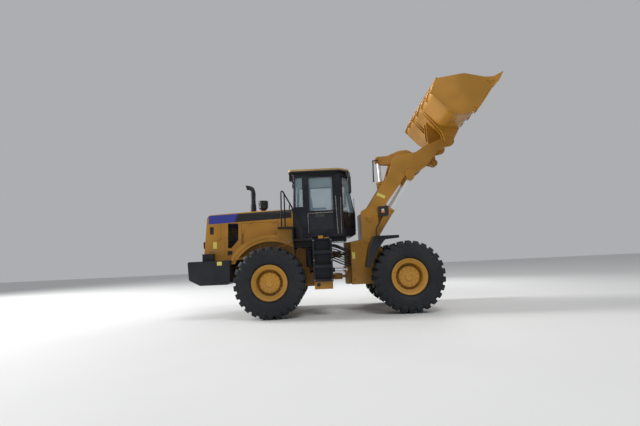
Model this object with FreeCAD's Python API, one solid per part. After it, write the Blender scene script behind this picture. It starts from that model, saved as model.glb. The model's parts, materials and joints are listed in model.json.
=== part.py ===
import FreeCAD, Part
import math
import os

# Wheel loader with an articulated frame and a Z-bar bucket linkage. Millimetres.
# X runs forward from the hitch axis, Y to the left and Z up from the ground, until the last lines
# move everything so that the middle of the whole machine stands over the origin.
# A point in a side view is (x, z), a point in a plan view is (x, y), and a third number is the
# radius of that corner.

os.makedirs("parts", exist_ok=True)

Vec = FreeCAD.Vector

# Clearances
fit_gap = 0.4
side_gap = 6
seat_gap = 0.3

# Wheels
wheelbase = 3100
track = 2150
tyre_radius = 800
tyre_half_width = 298
lug_pairs = 26
lug_height = 43
crown_edge_y = 215
shoulder_foot_radius = 640
rim_radius = 318
rim_flange_radius = 402
rim_half_width = 226
rim_wall = 16
rim_flange_width = 18
gutter_radius = 332
disc_radius = 275
hub_radius = 233
hub_face_out = 165
hub_back_out = -60
drum_radius = 230
rear_axle_x = -wheelbase / 2

# Axles
axle_tube_radius = 120
differential_radius = 235
brake_radius = 205
nose_radius = 110
rear_nose_length = 450
front_nose_length = 430
axle_pad_half_length = 120
axle_pad_width = 110

# Hitch
hitch_pin_radius = 45
hitch_lug_radius = 125
hitch_lug_reach = 205
hitch_lug_thickness = 35
front_lug_thickness = 58
upper_hitch_z = 1370
lower_hitch_z = 830
hitch_head_half_width = 220
hitch_head_back = 200
frame_plate = 30
hitch_bottom_z = 640
hitch_top_z = 1560

# Steering cylinders
steer_z = 1000
steer_rear_pivot = (-620, 470)
steer_front_pivot = (225, 300)
steer_barrel_radius = 50
steer_rod_radius = 25
steer_eye_radius = 48
steer_eye_height = 60
steer_pin_radius = 22
steer_gland_at = 560
steer_rod_tail_at = 320

# Rear frame
rail_out = 400
rail_thickness = 35
rail_back_x = rear_axle_x - 890
rail_front_x = -560
rail_bottom_z = 760
rail_top_z = 1190
axle_gap_z = 980
rail_head_top_z = 1560
cross_beam_half_width = 780
cross_beam_x = (-900, -330)
cross_beam_length = 120
cross_beam_height = 80

# Counterweight
weight_back_x = rear_axle_x - 1840
weight_half_width = 1200
weight_top_z = 1340
tow_pin_radius = 25
tow_pocket_height = 90
tow_pin_x = weight_back_x + 100

# Hood
hood_half_width = track / 2 - tyre_half_width - 27
hood_wall = 30
hood_front_x = -1010
hood_back_x = weight_back_x + 240
hood_back_slant = 100
hood_back_top_z = 2430
hood_top_z = 2500
hood_corner_radius = 110
grille_half_width = 560
grille_bottom_z = 1520
grille_top_z = 2260
slat_count = 14
louvre_count = 12
door_gap = 6
engine_door_back_x = rear_axle_x - 690
engine_door_front_x = rear_axle_x + 180
engine_door_top_z = 2200
engine_door_arch_radius = 1100
lid_knuckle_radius = 11
lid_knuckle_length = 60
lid_pin_radius = 6
lid_leaf_thickness = 10
lid_hinge_y = hood_half_width + lid_knuckle_radius + 1
lid_hinge_z = engine_door_top_z + 12

# Rear fenders and platforms
fender_radius = 1085
fender_sheet = 25
fender_skirt_depth = 155
fender_out = 1010
fender_front_x = -1010
deck_back_x = rear_axle_x + 210
deck_z = 2000
deck_out = 1210
deck_thickness = 35
low_deck_z = 1705
low_deck_back_x = -1010
rail_radius = 17
handrail_y = 1175

# Step boxes and tanks
step_back_x = rear_axle_x + tyre_radius + 180
step_front_x = -125
step_in = 780
step_out = 1150
step_top_z = 1740
step_bottom_z = 770
tread_count = 3
tank_bottom_z = 600
tank_out = 1100

# Power train
radiator_back_x = -2760
engine_back_x = -2400
engine_front_x = -1500
engine_bottom_z = 1100
engine_top_z = 1950
converter_half_width = 250
gearbox_back_x = -1100
gearbox_front_x = -640
gearbox_bottom_z = 700
gearbox_top_z = 1400
exhaust_x = -2030
exhaust_y = -200
exhaust_radius = 50
exhaust_sleeve_radius = 70
exhaust_top_z = 3130
precleaner_x = -1761
precleaner_y = -350
precleaner_radius = 112

# Cab
cab_back_x = -1000
cab_front_x = 500
cab_half_width = 800
cab_nose_half_width = 300
cab_corner_x = 150
cab_floor_z = 1790
cab_top_z = 3300
cab_wall = 55
window_top_z = 3225
cab_mount_radius = 55
glass_thickness = 8
glass_inset = 20
roof_neck = 45
roof_thickness = 75
roof_crown = 22
door_back_x = -690
door_front_x = 10
door_bottom_z = 1866
door_top_z = 3258
door_hinge_out = cab_half_width + 18
door_knuckle_radius = 15
door_pin_radius = 8

# Front frame and tower
bulkhead_x = 330
frame_top_z = 1660
outer_plate_out = 545
outer_plate_thickness = 25
inner_plate_out = 300
inner_plate_thickness = 25
tower_back_x = 620
nose_bottom_z = 960

# Boom and lift cylinders, side view at rest
boom_pivot = (820, 2200)
bucket_pivot = (2930, 4060)
boom_arm_y = 410
boom_arm_thickness = 80
boom_pin_radius = 55
boom_foot_radius = 170
boom_foot_thickness = 180
boom_nose_radius = 130
boom_nose_thickness = 90
cross_tube_at = (1750, 3370)
cross_tube_radius = 115
lift_base = (840, 1610)
lift_eye = (1900, 3190)
lift_barrel_radius = 92
lift_rod_radius = 45
lift_pin_radius = 45
lift_eye_radius = 75
lift_gland_at = 980
lift_rod_tail_at = 905
lift_ear_steps = (0, 12, 42, 54)

# Z-bar linkage, side view at rest
tilt_base = (1260, 2310)
crank_tail = (1200, 3740)
crank_pivot = (1800, 3820)
crank_foot = (2620, 3600)
link_to_bucket = (-127, 340)
tilt_barrel_radius = 100
tilt_rod_radius = 45
tilt_pin_radius = 45
tilt_gland_at = 860
tilt_rod_tail_at = 660
crank_core_half = 46
crank_cheek_out = 80
crank_pin_radius = 55
crank_hub_radius = 115
crank_ring_radius = 142
crank_bracket_in = 106
crank_bracket_out = 140
link_half = 40
link_pin_radius = 40
link_eye_radius = 82
link_lug_in = 75
link_lug_out = 110

# Bucket, in its own side view: the hinge pin is (0, 0) and the floor lies level
bucket_rest_angle = 54
bucket_half_width = 1480
bucket_wall = 25
bucket_side_wall = 30
bucket_pin_radius = 45
bucket_lug_thickness = 35
bucket_floor_z = -72
bucket_tip_x = 1640
bucket_spill = (669, 1105)
edge_depth = 230
edge_thickness = 40
tooth_count = 8
tooth_width = 90
tooth_length = 170
spill_rib_count = 7


def flat(points, plane):
    """Closed face in plane xz, xy or yz, with the corner radii rounded off."""
    place = {
        "xz": lambda a, b: Vec(a, 0, b),
        "xy": lambda a, b: Vec(a, b, 0),
        "yz": lambda a, b: Vec(0, a, b),
    }[plane]
    stops = []
    for i, corner in enumerate(points):
        here = place(corner[0], corner[1])
        radius = corner[2] if len(corner) > 2 else 0
        if radius == 0:
            stops.append((here, None, here))
            continue
        before, after = points[i - 1], points[(i + 1) % len(points)]
        back = (place(before[0], before[1]) - here).normalize()
        ahead = (place(after[0], after[1]) - here).normalize()
        half = back.getAngle(ahead) / 2
        reach = radius / math.tan(half)
        middle = here + (back + ahead).normalize() * (radius / math.sin(half) - radius)
        stops.append((here + back * reach, middle, here + ahead * reach))
    edges = []
    for i, (start, middle, end) in enumerate(stops):
        if middle is not None:
            edges.append(Part.Arc(start, middle, end).toShape())
        following = stops[(i + 1) % len(stops)][0]
        if end.distanceToPoint(following) > 0.01:
            edges.append(Part.makeLine(end, following))
    return Part.Face(Part.Wire(edges))


def prism(points, plane, low, high):
    """Outline pushed along the axis across its plane, from low to high."""
    axis = {"xz": Vec(0, 1, 0), "xy": Vec(0, 0, 1), "yz": Vec(1, 0, 0)}[plane]
    face = flat(points, plane)
    face.translate(axis * low)
    return face.extrude(axis * (high - low))


def box(x0, x1, y0, y1, z0, z1):
    return Part.makeBox(x1 - x0, y1 - y0, z1 - z0, Vec(x0, y0, z0))


def rod(start, end, radius):
    run = end - start
    return Part.makeCylinder(radius, run.Length, start, run)


def cross_pin(at, y0, y1, radius):
    """Cylinder along Y through the side-view point at."""
    return rod(Vec(at[0], y0, at[1]), Vec(at[0], y1, at[1]), radius)


def upright(x, y, z0, z1, radius):
    return rod(Vec(x, y, z0), Vec(x, y, z1), radius)


def turned(profile, origin, direction):
    """Body of revolution; each profile point is (distance along the axis, radius)."""
    face = Part.Face(Part.makePolygon([Vec(r, 0, a) for a, r in profile + profile[:1]]))
    body = face.revolve(Vec(0, 0, 0), Vec(0, 0, 1), 360)
    body.Placement = FreeCAD.Placement(origin, FreeCAD.Rotation(Vec(0, 0, 1), direction))
    return body


def joined(shapes):
    first = shapes[0]
    if len(shapes) > 1:
        first = first.fuse(shapes[1:])
    return first.removeSplitter()


def mirrored(shape):
    return shape.mirror(Vec(0, 0, 0), Vec(0, 1, 0))


def both(shape):
    return [shape, mirrored(shape)]


def bent_tube(points, radius, bend):
    """Round bar along straight runs with tangent bends."""
    edges = []
    start = points[0]
    for before, here, after in zip(points, points[1:], points[2:]):
        back = (before - here).normalize()
        ahead = (after - here).normalize()
        half = back.getAngle(ahead) / 2
        reach = bend / math.tan(half)
        middle = here + (back + ahead).normalize() * (bend / math.sin(half) - bend)
        edges.append(Part.makeLine(start, here + back * reach))
        edges.append(Part.Arc(here + back * reach, middle, here + ahead * reach).toShape())
        start = here + ahead * reach
    edges.append(Part.makeLine(start, points[-1]))
    ring = Part.Wire(Part.makeCircle(radius, points[0], points[1] - points[0]))
    return Part.Wire(edges).makePipeShell([ring], True, False)


nodes = {}


def keep(name, shapes):
    solids = [solid for shape in shapes for solid in shape.Solids]
    nodes[name] = solids[0] if len(solids) == 1 else Part.makeCompound(solids)


# Tyres: a carcass of flat facets with lugs fused to it, so that a lug's flat face lies on the ground

# ring, distance from the axle, y
sidewall_rings = [
    ("bead", rim_radius + fit_gap, rim_half_width - seat_gap),
    ("flange", rim_flange_radius + 6, rim_half_width - seat_gap),
    ("bulge", rim_flange_radius + 50, tyre_half_width - 22),
]

# place along a lug, its y, radius it stands on, foot's edges behind and ahead, top's y and edges
lug_places = [
    ("inner", 16, tyre_radius - lug_height, (-52, 24), 22, (-42, 14)),
    ("knee", crown_edge_y, tyre_radius - lug_height, (-58, 58), crown_edge_y + 25, (-46, 46)),
    ("outer", tyre_half_width, shoulder_foot_radius, (-55, 55), None, None),
]


def tyre_corners(centre, side):
    """Corners of one side's pitches, each a table from the corner's name to its place."""
    pitch = 2 * math.pi / lug_pairs
    pitches = []
    for i in range(lug_pairs):
        at = pitch * (i + (0.5 if side > 0 else 0))

        def polar(radius, edge, y):
            angle = at + edge / radius
            return centre + Vec(math.sin(angle) * radius, side * y, -math.cos(angle) * radius)

        corner = {}
        for name, radius, y in sidewall_rings:
            corner[name] = polar(radius / math.cos(pitch / 2), 0, y)
        for name, y, radius, foot, top_y, top in lug_places:
            for edge in (0, 1):
                corner[name, "foot", edge] = polar(radius, foot[edge], y)
                if top:
                    corner[name, "top", edge] = (
                        centre + Vec(math.sin(at), 0, -math.cos(at)) * tyre_radius
                        + Vec(math.cos(at), 0, math.sin(at)) * top[edge] + Vec(0, side * top_y, 0))
        pitches.append(corner)
    return pitches


def tyre_side(pitches):
    """Outlines of one side's facets: gaps, lug faces and sidewall."""
    outlines = []
    for here, following in zip(pitches, pitches[1:] + pitches[:1]):
        for inner, outer in (("inner", "knee"), ("knee", "outer")):
            outlines.append([here[inner, "foot", 1], here[outer, "foot", 1],
                             following[outer, "foot", 0], following[inner, "foot", 0]])
        top = [here["inner", "top", 0], here["knee", "top", 0], here["knee", "top", 1],
               here["inner", "top", 1]]
        outlines.append(top)
        outlines.append([top[1], here["outer", "foot", 0], here["outer", "foot", 1], top[2]])
        outlines.append([here["inner", "foot", 0], top[0], top[3], here["inner", "foot", 1]])
        for edge in (0, 1):
            knee = here["knee", "foot", edge]
            outlines.append([knee, here["inner", "foot", edge], here["inner", "top", edge],
                             here["knee", "top", edge]])
            outlines.append([knee, here["knee", "top", edge], here["outer", "foot", edge]])
        outlines.append([here["outer", "foot", 0], here["bulge"], here["outer", "foot", 1]])
        outlines.append([here["outer", "foot", 1], here["bulge"], following["bulge"],
                         following["outer", "foot", 0]])
        for outer, inner in (("bulge", "flange"), ("flange", "bead")):
            outlines.append([here[outer], here[inner], following[inner], following[outer]])
    return outlines


def facets(outline):
    """Flat faces over an outline of three or four corners."""
    if len(outline) == 4:
        a, b, c, d = outline
        normal = (b - a).cross(c - a)
        if abs((d - a).dot(normal)) > 1e-6 * normal.Length:
            return facets([a, b, c]) + facets([a, c, d])
    return [Part.Face(Part.makePolygon(outline + outline[:1]))]


def lugged_tyre(centre):
    """Two sides half a pitch apart, joined by the middle groove and the bore."""
    right, left = tyre_corners(centre, -1), tyre_corners(centre, 1)
    outlines = tyre_side(right) + tyre_side(left)
    for i in range(lug_pairs):
        here, following = right[i], right[(i + 1) % lug_pairs]
        beside, before, after = left[i], left[i - 1], left[(i + 1) % lug_pairs]
        outlines.append([here["bead"], beside["bead"], following["bead"]])
        outlines.append([following["bead"], beside["bead"], after["bead"]])
        near, far, ahead = here["inner", "foot", 0], here["inner", "foot", 1], following["inner", "foot", 0]
        outlines.append([before["inner", "foot", 1], near, far])
        outlines.append([before["inner", "foot", 1], far, beside["inner", "foot", 0]])
        outlines.append([far, ahead, beside["inner", "foot", 0]])
        outlines.append([beside["inner", "foot", 0], ahead, beside["inner", "foot", 1]])
    shell = Part.makeShell([face for outline in outlines for face in facets(outline)])
    shell.sewShape()
    solid = Part.makeSolid(shell)
    if solid.Volume < 0:
        solid.reverse()
    return solid


flange_out = rim_half_width + rim_flange_width
rim_profile = [
    (hub_back_out, 0),
    (hub_back_out, drum_radius),
    (16, drum_radius),
    (16, rim_radius - rim_wall),
    (-flange_out, rim_radius - rim_wall),
    (-flange_out, rim_flange_radius),
    (-rim_half_width, rim_flange_radius),
    (-rim_half_width, rim_radius),
    (rim_half_width, rim_radius),
    (rim_half_width, rim_flange_radius),
    (flange_out, rim_flange_radius),
    (flange_out, rim_flange_radius - 22),
    (flange_out - 22, gutter_radius),
    (flange_out - 34, rim_radius - rim_wall),
    (130, rim_radius - rim_wall - 14),
    (60, disc_radius),
    (60, hub_radius),
    (hub_face_out - 15, hub_radius),
    (hub_face_out, hub_radius - 18),
    (hub_face_out, 100),
    (hub_face_out + 20, 88),
    (hub_face_out + 20, 0),
]

# name, x of the axle, side
wheels = [
    ("rear_right", rear_axle_x, -1),
    ("rear_left", rear_axle_x, 1),
    ("front_right", wheelbase / 2, -1),
    ("front_left", wheelbase / 2, 1),
]
for name, x, side in wheels:
    centre = Vec(x, side * track / 2, tyre_radius)
    keep("tyre_" + name, [lugged_tyre(centre)])
    keep("rim_" + name, [turned(rim_profile, centre, Vec(0, side, 0))])


# Axles: turned housings with a nose to the drive shaft and pads up to the frame

hub_plane = track / 2 + hub_back_out - fit_gap
axle_half_profile = [
    (0, differential_radius),
    (120, differential_radius),
    (260, 150),
    (380, axle_tube_radius),
    (860, axle_tube_radius),
    (860, brake_radius),
    (hub_plane, brake_radius),
    (hub_plane, 0),
]
axle_profile = [(-a, r) for a, r in reversed(axle_half_profile[1:])] + axle_half_profile[1:]


def axle(x, toward_hitch, nose_length, pad_out, pad_top_z):
    centre = Vec(x, 0, tyre_radius)
    nose_end = centre + Vec(toward_hitch * nose_length, 0, 0)
    pieces = [
        turned(axle_profile, centre, Vec(0, 1, 0)),
        rod(centre, nose_end, nose_radius),
    ]
    pad = box(x - axle_pad_half_length, x + axle_pad_half_length, pad_out - axle_pad_width, pad_out,
              tyre_radius, pad_top_z)
    return joined(pieces + both(pad))


keep("rear_axle", [axle(-wheelbase / 2, 1, rear_nose_length, rail_out + 10, axle_gap_z)])
keep("front_axle", [axle(wheelbase / 2, -1, front_nose_length, inner_plate_out + 45, nose_bottom_z)])


# Hitch lugs, two pairs on the rear half and two plates on the front half

def hitch_lug(toward, radius, z0, z1):
    far = toward * hitch_lug_reach
    plate = box(min(0, far), max(0, far), -radius, radius, z0, z1)
    lug = plate.fuse(upright(0, 0, z0, z1, radius))
    return lug.cut(upright(0, 0, z0 - 1, z1 + 1, hitch_pin_radius + fit_gap))


rear_lugs = []
front_lugs = []
hitch_pins = []
lug_gap = front_lug_thickness / 2 + side_gap
for z in (upper_hitch_z, lower_hitch_z):
    rear_lugs.append(hitch_lug(-1, hitch_lug_radius, z + lug_gap, z + lug_gap + hitch_lug_thickness))
    rear_lugs.append(hitch_lug(-1, hitch_lug_radius, z - lug_gap - hitch_lug_thickness, z - lug_gap))
    front_lugs.append(hitch_lug(1, hitch_lug_radius - 5, z - front_lug_thickness / 2,
                                z + front_lug_thickness / 2))
    pin_top = z + lug_gap + hitch_lug_thickness
    hitch_pins.append(joined([
        upright(0, 0, z - lug_gap - hitch_lug_thickness, pin_top, hitch_pin_radius),
        upright(0, 0, pin_top, pin_top + 15, hitch_pin_radius + 25),
    ]))
keep("hitch_pins", hitch_pins)


def steer_ears(pivot, y_in):
    """Two plates that hold the pivot of a right-hand steering cylinder."""
    x, y = pivot
    reach = steer_eye_radius + 4
    ears = []
    for low in (steer_z - steer_eye_height / 2 - side_gap - 30, steer_z + steer_eye_height / 2 + side_gap):
        plate = box(x - reach, x + reach, -y, -y_in, low, low + 30)
        ears.append(plate.fuse(upright(x, -y, low, low + 30, reach)))
    return ears


# Rear frame: two rails over the axle, a narrow head for the hitch and beams under the cab

rail_outline = [
    (rail_back_x, rail_bottom_z),
    (rail_back_x, rail_top_z),
    (-1130, rail_top_z, 100),
    (-960, rail_head_top_z, 100),
    (rail_front_x, rail_head_top_z),
    (rail_front_x, hitch_bottom_z),
    (-900, hitch_bottom_z, 80),
    (rear_axle_x + 370, axle_gap_z, 120),
    (rear_axle_x - 400, axle_gap_z, 100),
    (rear_axle_x - 580, rail_bottom_z, 80),
]
rail = prism(rail_outline, "xz", rail_out - rail_thickness, rail_out)
head_cheek = box(rail_front_x, -hitch_head_back, hitch_head_half_width - frame_plate,
                 hitch_head_half_width, hitch_bottom_z, hitch_top_z)
rear_frame = both(rail) + both(head_cheek) + rear_lugs + [
    box(-hitch_head_back - frame_plate, -hitch_head_back, -hitch_head_half_width,
        hitch_head_half_width, hitch_bottom_z, hitch_top_z),
    box(rail_front_x - frame_plate, rail_front_x, -rail_out, rail_out, hitch_bottom_z, rail_head_top_z),
    box(rail_back_x, rail_back_x + 35, -weight_half_width / 2, weight_half_width / 2,
        rail_bottom_z, rail_top_z),
]
for x in cross_beam_x:
    rear_frame.append(box(x - cross_beam_length / 2, x + cross_beam_length / 2, -cross_beam_half_width,
                          cross_beam_half_width, rail_head_top_z, rail_head_top_z + cross_beam_height))
rear_steer_ears = steer_ears(steer_rear_pivot, rail_out)
rear_steer_pin = upright(steer_rear_pivot[0], -steer_rear_pivot[1], steer_z - 70, steer_z + 70,
                         steer_pin_radius)
for piece in rear_steer_ears + [rear_steer_pin]:
    rear_frame += both(piece)
keep("rear_frame", [joined(rear_frame)])


# Counterweight: a casting across the whole width, with a pocket and pin hole to tow by

weight_outline = [
    (weight_back_x, weight_top_z, 40),
    (rail_back_x, weight_top_z),
    (rail_back_x, 850, 30),
    (rail_back_x - 60, 800, 30),
    (weight_back_x + 280, 800, 60),
    (weight_back_x + 30, 930, 60),
]
weight = prism(weight_outline, "xz", -weight_half_width, weight_half_width)
tow_z = 1080
pocket = box(weight_back_x - 10, tow_pin_x + 90, -110, 110, tow_z - tow_pocket_height / 2,
             tow_z + tow_pocket_height / 2)
tow_hole = upright(tow_pin_x, 0, tow_z - 150, weight_top_z + 10, tow_pin_radius)
keep("counterweight", [weight.cut([pocket, tow_hole])])


# Hood: a folded sheet box, open below, with a grille opening, side vents and two lifting doors

def hood_body(inset):
    side = [
        (hood_back_x + inset, weight_top_z - inset),
        (hood_back_x + hood_back_slant + inset, hood_back_top_z - inset, hood_corner_radius - inset),
        (exhaust_x + 50, hood_top_z - 20 - inset),
        (hood_front_x - inset, hood_top_z - inset),
        (hood_front_x - inset, weight_top_z - inset),
    ]
    half = hood_half_width - inset
    end = [(-half, weight_top_z - 140), (-half, hood_top_z - inset, hood_corner_radius - inset),
           (half, hood_top_z - inset, hood_corner_radius - inset), (half, weight_top_z - 140)]
    return prism(side, "xz", -half, half).common(prism(end, "yz", weight_back_x, hood_front_x + 100))


hood = hood_body(0).cut(hood_body(hood_wall))
vent_outline = [(-2573, 1628), (-2561, 2213), (-2315, 2205), (-2324, 1813), (-2494, 1624)]
vent = prism(vent_outline, "xz", hood_half_width - hood_wall - 1, hood_half_width + 1)
grille_opening = box(weight_back_x, hood_back_x + 200, -grille_half_width, grille_half_width,
                     grille_bottom_z, grille_top_z)
tunnel = box(hood_front_x - hood_wall - 1, hood_front_x + 1, -rail_out - 15, rail_out + 15,
             weight_top_z - 1, rail_head_top_z - 75)


def engine_door_blank(gap, y0, y1):
    """Side door of the hood: straight on three sides, arched over the wheel below."""
    blank = box(engine_door_back_x - gap, engine_door_front_x + gap, y0, y1,
                weight_top_z, engine_door_top_z + gap)
    arch = cross_pin((-wheelbase / 2, tyre_radius), y0 - 1, y1 + 1, engine_door_arch_radius - gap)
    return blank.cut(arch)


engine_openings = both(engine_door_blank(door_gap, hood_half_width - hood_wall - 1, hood_half_width + 1))
exhaust_hole = upright(exhaust_x, exhaust_y, hood_top_z - 200, hood_top_z + 100, exhaust_sleeve_radius + 8)
precleaner_hole = upright(precleaner_x, precleaner_y, hood_top_z - 200, hood_top_z + 100, 75)
hood = hood.cut(both(vent) + engine_openings + [grille_opening, exhaust_hole, precleaner_hole, tunnel])

engine_door = engine_door_blank(0, hood_half_width - hood_wall, hood_half_width)
for x in (engine_door_back_x + 150, engine_door_front_x - 150):
    middle = x + lid_knuckle_length + 1
    leaf = box(x, x + lid_knuckle_length, hood_half_width, hood_half_width + lid_leaf_thickness,
               lid_hinge_z - 52, lid_hinge_z - lid_knuckle_radius + 3)
    knuckle = rod(Vec(x, lid_hinge_y, lid_hinge_z), Vec(x + lid_knuckle_length, lid_hinge_y, lid_hinge_z),
                  lid_knuckle_radius)
    bore = rod(Vec(x - 1, lid_hinge_y, lid_hinge_z), Vec(middle, lid_hinge_y, lid_hinge_z),
               lid_pin_radius + fit_gap)
    engine_door = engine_door.fuse([leaf, knuckle]).cut(bore)
    hood_leaf = box(middle, middle + lid_knuckle_length, hood_half_width,
                    hood_half_width + lid_leaf_thickness, lid_hinge_z, lid_hinge_z + 48)
    hood_knuckle = rod(Vec(middle, lid_hinge_y, lid_hinge_z),
                       Vec(middle + lid_knuckle_length, lid_hinge_y, lid_hinge_z), lid_knuckle_radius)
    hood_pin = rod(Vec(x, lid_hinge_y, lid_hinge_z), Vec(middle, lid_hinge_y, lid_hinge_z), lid_pin_radius)
    hood = hood.fuse(both(joined([hood_leaf, hood_knuckle, hood_pin])))
keep("hood", [hood.removeSplitter()])
handle = box(engine_door_back_x + 30, engine_door_back_x + 55, hood_half_width, hood_half_width + 30,
             1960, 2080)
engine_door = joined([engine_door, handle])
keep("engine_door_left", [engine_door])
keep("engine_door_right", [mirrored(engine_door)])

grille_half = grille_half_width - seat_gap
grille_run = hood_back_slant / (hood_back_top_z - weight_top_z)


def grille_bar(y0, y1, z0, z1, depth):
    """Piece of the grille between two heights, parallel to the hood's slanted back."""
    low, high = [hood_back_x + 12 + (z - weight_top_z) * grille_run for z in (z0, z1)]
    return prism([(low, z0), (high, z1), (high + depth, z1), (low + depth, z0)], "xz", y0, y1)


grille_bars = [grille_bar(-grille_half, grille_half, z, z + 30, 40)
               for z in (grille_bottom_z + seat_gap, grille_top_z - seat_gap - 30)]
for y in (-grille_half, -200, 165, grille_half - 35):
    grille_bars.append(grille_bar(y, y + 35, grille_bottom_z + seat_gap, grille_top_z - seat_gap, 38))
slat_pitch = (grille_top_z - grille_bottom_z) / slat_count
for i in range(1, slat_count):
    z = grille_bottom_z + i * slat_pitch
    x = hood_back_x + 16 + (z - weight_top_z) * grille_run
    slat = [(x, z), (x + 34, z + 22), (x + 34, z + 34), (x, z + 12)]
    grille_bars.append(prism(slat, "xz", -grille_half, grille_half))
keep("rear_grille", [joined(grille_bars)])

vent_face = flat(vent_outline, "xz")
vent_slot = vent_face.makeOffset2D(-12)
vent_frame = vent_face.makeOffset2D(22).extrude(Vec(0, 12, 0)).cut(vent_slot.extrude(Vec(0, 12, 0)))
vent_frame.translate(Vec(0, hood_half_width - hood_wall - seat_gap - 12, 0))
vent_room = vent_face.makeOffset2D(-4).extrude(Vec(0, 60, 0))
vent_room.translate(Vec(0, hood_half_width - hood_wall - 12, 0))
louvres = [vent_frame]
louvre_low, louvre_high = vent_outline[0][1], vent_outline[1][1]
louvre_pitch = (louvre_high - louvre_low) / louvre_count
for i in range(louvre_count):
    z = louvre_low + (i + 0.4) * louvre_pitch
    y = hood_half_width - hood_wall
    blade = prism([(y - 10, z + 14), (y - 10, z + 20), (y + 26, z + 4), (y + 26, z - 2)], "yz", -2700, -2200)
    louvres.append(blade.common(vent_room))
keep("side_vents", both(joined(louvres)))


# Engine, converter and gearbox as plain blocks, and what stands out of the hood

rail_in = rail_out - rail_thickness
keep("power_train", [joined([
    box(engine_back_x, engine_front_x, -rail_in, rail_in, engine_bottom_z, engine_top_z),
    box(radiator_back_x, engine_back_x, -rail_in, rail_in, weight_top_z, engine_top_z),
    box(engine_front_x, gearbox_back_x, -converter_half_width, converter_half_width,
        engine_bottom_z + 50, gearbox_top_z + 50),
    box(gearbox_back_x, gearbox_front_x, -rail_in, rail_in, gearbox_bottom_z, gearbox_top_z),
])])
exhaust_path = [
    Vec(exhaust_x, exhaust_y, engine_top_z),
    Vec(exhaust_x, exhaust_y, exhaust_top_z),
    Vec(exhaust_x - 150, exhaust_y, exhaust_top_z + 20),
]
keep("exhaust_stack", [joined([
    bent_tube(exhaust_path, exhaust_radius, 90),
    upright(exhaust_x, exhaust_y, engine_top_z + 100, hood_top_z + 190, exhaust_sleeve_radius),
])])
keep("air_precleaner", [joined([
    upright(precleaner_x, precleaner_y, engine_top_z, hood_top_z + 60, 60),
    upright(precleaner_x, precleaner_y, hood_top_z + 60, hood_top_z + 90, precleaner_radius - 20),
    upright(precleaner_x, precleaner_y, hood_top_z + 90, hood_top_z + 265, precleaner_radius),
])])


# Rear fenders: an arched top, an outer skirt and a box under the platform

wheel_at = (rear_axle_x, tyre_radius)


def fender_shape(radius, inset, y0, y1):
    disc = cross_pin(wheel_at, y0, y1, radius)
    keep_in = prism([(rail_back_x, 1250), (rail_back_x, 2100), (fender_front_x, 2100),
                     (fender_front_x, 1250)], "xz", y0, y1)
    front = box(engine_door_front_x + door_gap, fender_front_x - inset, y0, y1, 1640, deck_z - inset)
    return disc.common(keep_in).fuse(front)


top_sheet = fender_shape(fender_radius, 0, hood_half_width, fender_out).cut(
    fender_shape(fender_radius - fender_sheet, fender_sheet, hood_half_width - 1, fender_out + 1))
skirt = fender_shape(fender_radius, 0, fender_out - fender_sheet, fender_out).cut(
    cross_pin(wheel_at, fender_out - fender_sheet - 1, fender_out + 1, fender_radius - fender_skirt_depth))
keep("rear_fenders", both(joined([top_sheet, skirt])))


# Platforms behind the cab with their handrails

deck = joined([
    box(deck_back_x, low_deck_back_x, hood_half_width, deck_out, deck_z, deck_z + deck_thickness),
    box(low_deck_back_x, low_deck_back_x + 25, cab_half_width + 10, deck_out, low_deck_z,
        deck_z + deck_thickness),
    box(low_deck_back_x, step_back_x, cab_half_width + 30, deck_out - 30, low_deck_z,
        low_deck_z + deck_thickness),
    box(low_deck_back_x, step_back_x, cab_half_width + 30, cab_half_width + 50, rail_head_top_z, low_deck_z),
    prism([(-1015, 2430), (-945, 2455), (-770, 1900), (-760, low_deck_z), (-840, low_deck_z), (-850, 1900)],
          "xz", handrail_y - 8, handrail_y + 8),
    bent_tube([
        Vec(-1250, handrail_y, deck_z + 5),
        Vec(-1235, handrail_y, 2930),
        Vec(-970, handrail_y, 2430),
        Vec(-785, handrail_y, low_deck_z + 5),
    ], rail_radius, 25),
    upright(-1165, handrail_y, deck_z + 5, 2790, rail_radius - 2),
])
keep("platforms", both(deck))


# Step boxes under the cab doors and the tanks under them

step_box = box(step_back_x, step_front_x, step_in, step_out, step_bottom_z, step_top_z)
tread_pitch = (step_top_z - step_bottom_z) / tread_count
for i in range(tread_count):
    low = step_bottom_z + i * tread_pitch + 50
    step_box = step_box.cut(box(step_back_x + 40, step_front_x - 40, step_out - 190, step_out + 1,
                                low, low + tread_pitch - 70))
keep("step_boxes", both(step_box))
tank = box(step_back_x + 15, step_front_x - 15, step_in, tank_out, tank_bottom_z, step_bottom_z)
keep("tanks", both(tank))


# Cab: one hollow shell with its windows and door openings cut

def cab_body(inset):
    """The cab's outer form moved in by inset on every side."""
    side = [
        (cab_back_x + inset, cab_floor_z + inset),
        (cab_back_x + inset, 2500),
        (-950 + inset, cab_top_z - inset),
        (330 - inset, cab_top_z - inset),
        (cab_front_x - 10 - inset, 2410, 300),
        (cab_front_x - inset, 1850 + inset),
        (380, cab_floor_z + inset),
    ]
    slant = inset * 1.2
    plan = [
        (cab_back_x + inset, -cab_half_width + inset, 60),
        (cab_corner_x - inset / 2, -cab_half_width + inset, 50),
        (cab_front_x - inset, -cab_nose_half_width + slant / 2, 60),
        (cab_front_x - inset, cab_nose_half_width - slant / 2, 60),
        (cab_corner_x - inset / 2, cab_half_width - inset, 50),
        (cab_back_x + inset, cab_half_width - inset, 60),
    ]
    half = cab_half_width - inset
    return prism(side, "xz", -half, half).common(
        prism(plan, "xy", cab_floor_z + inset, cab_top_z - inset))


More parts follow.
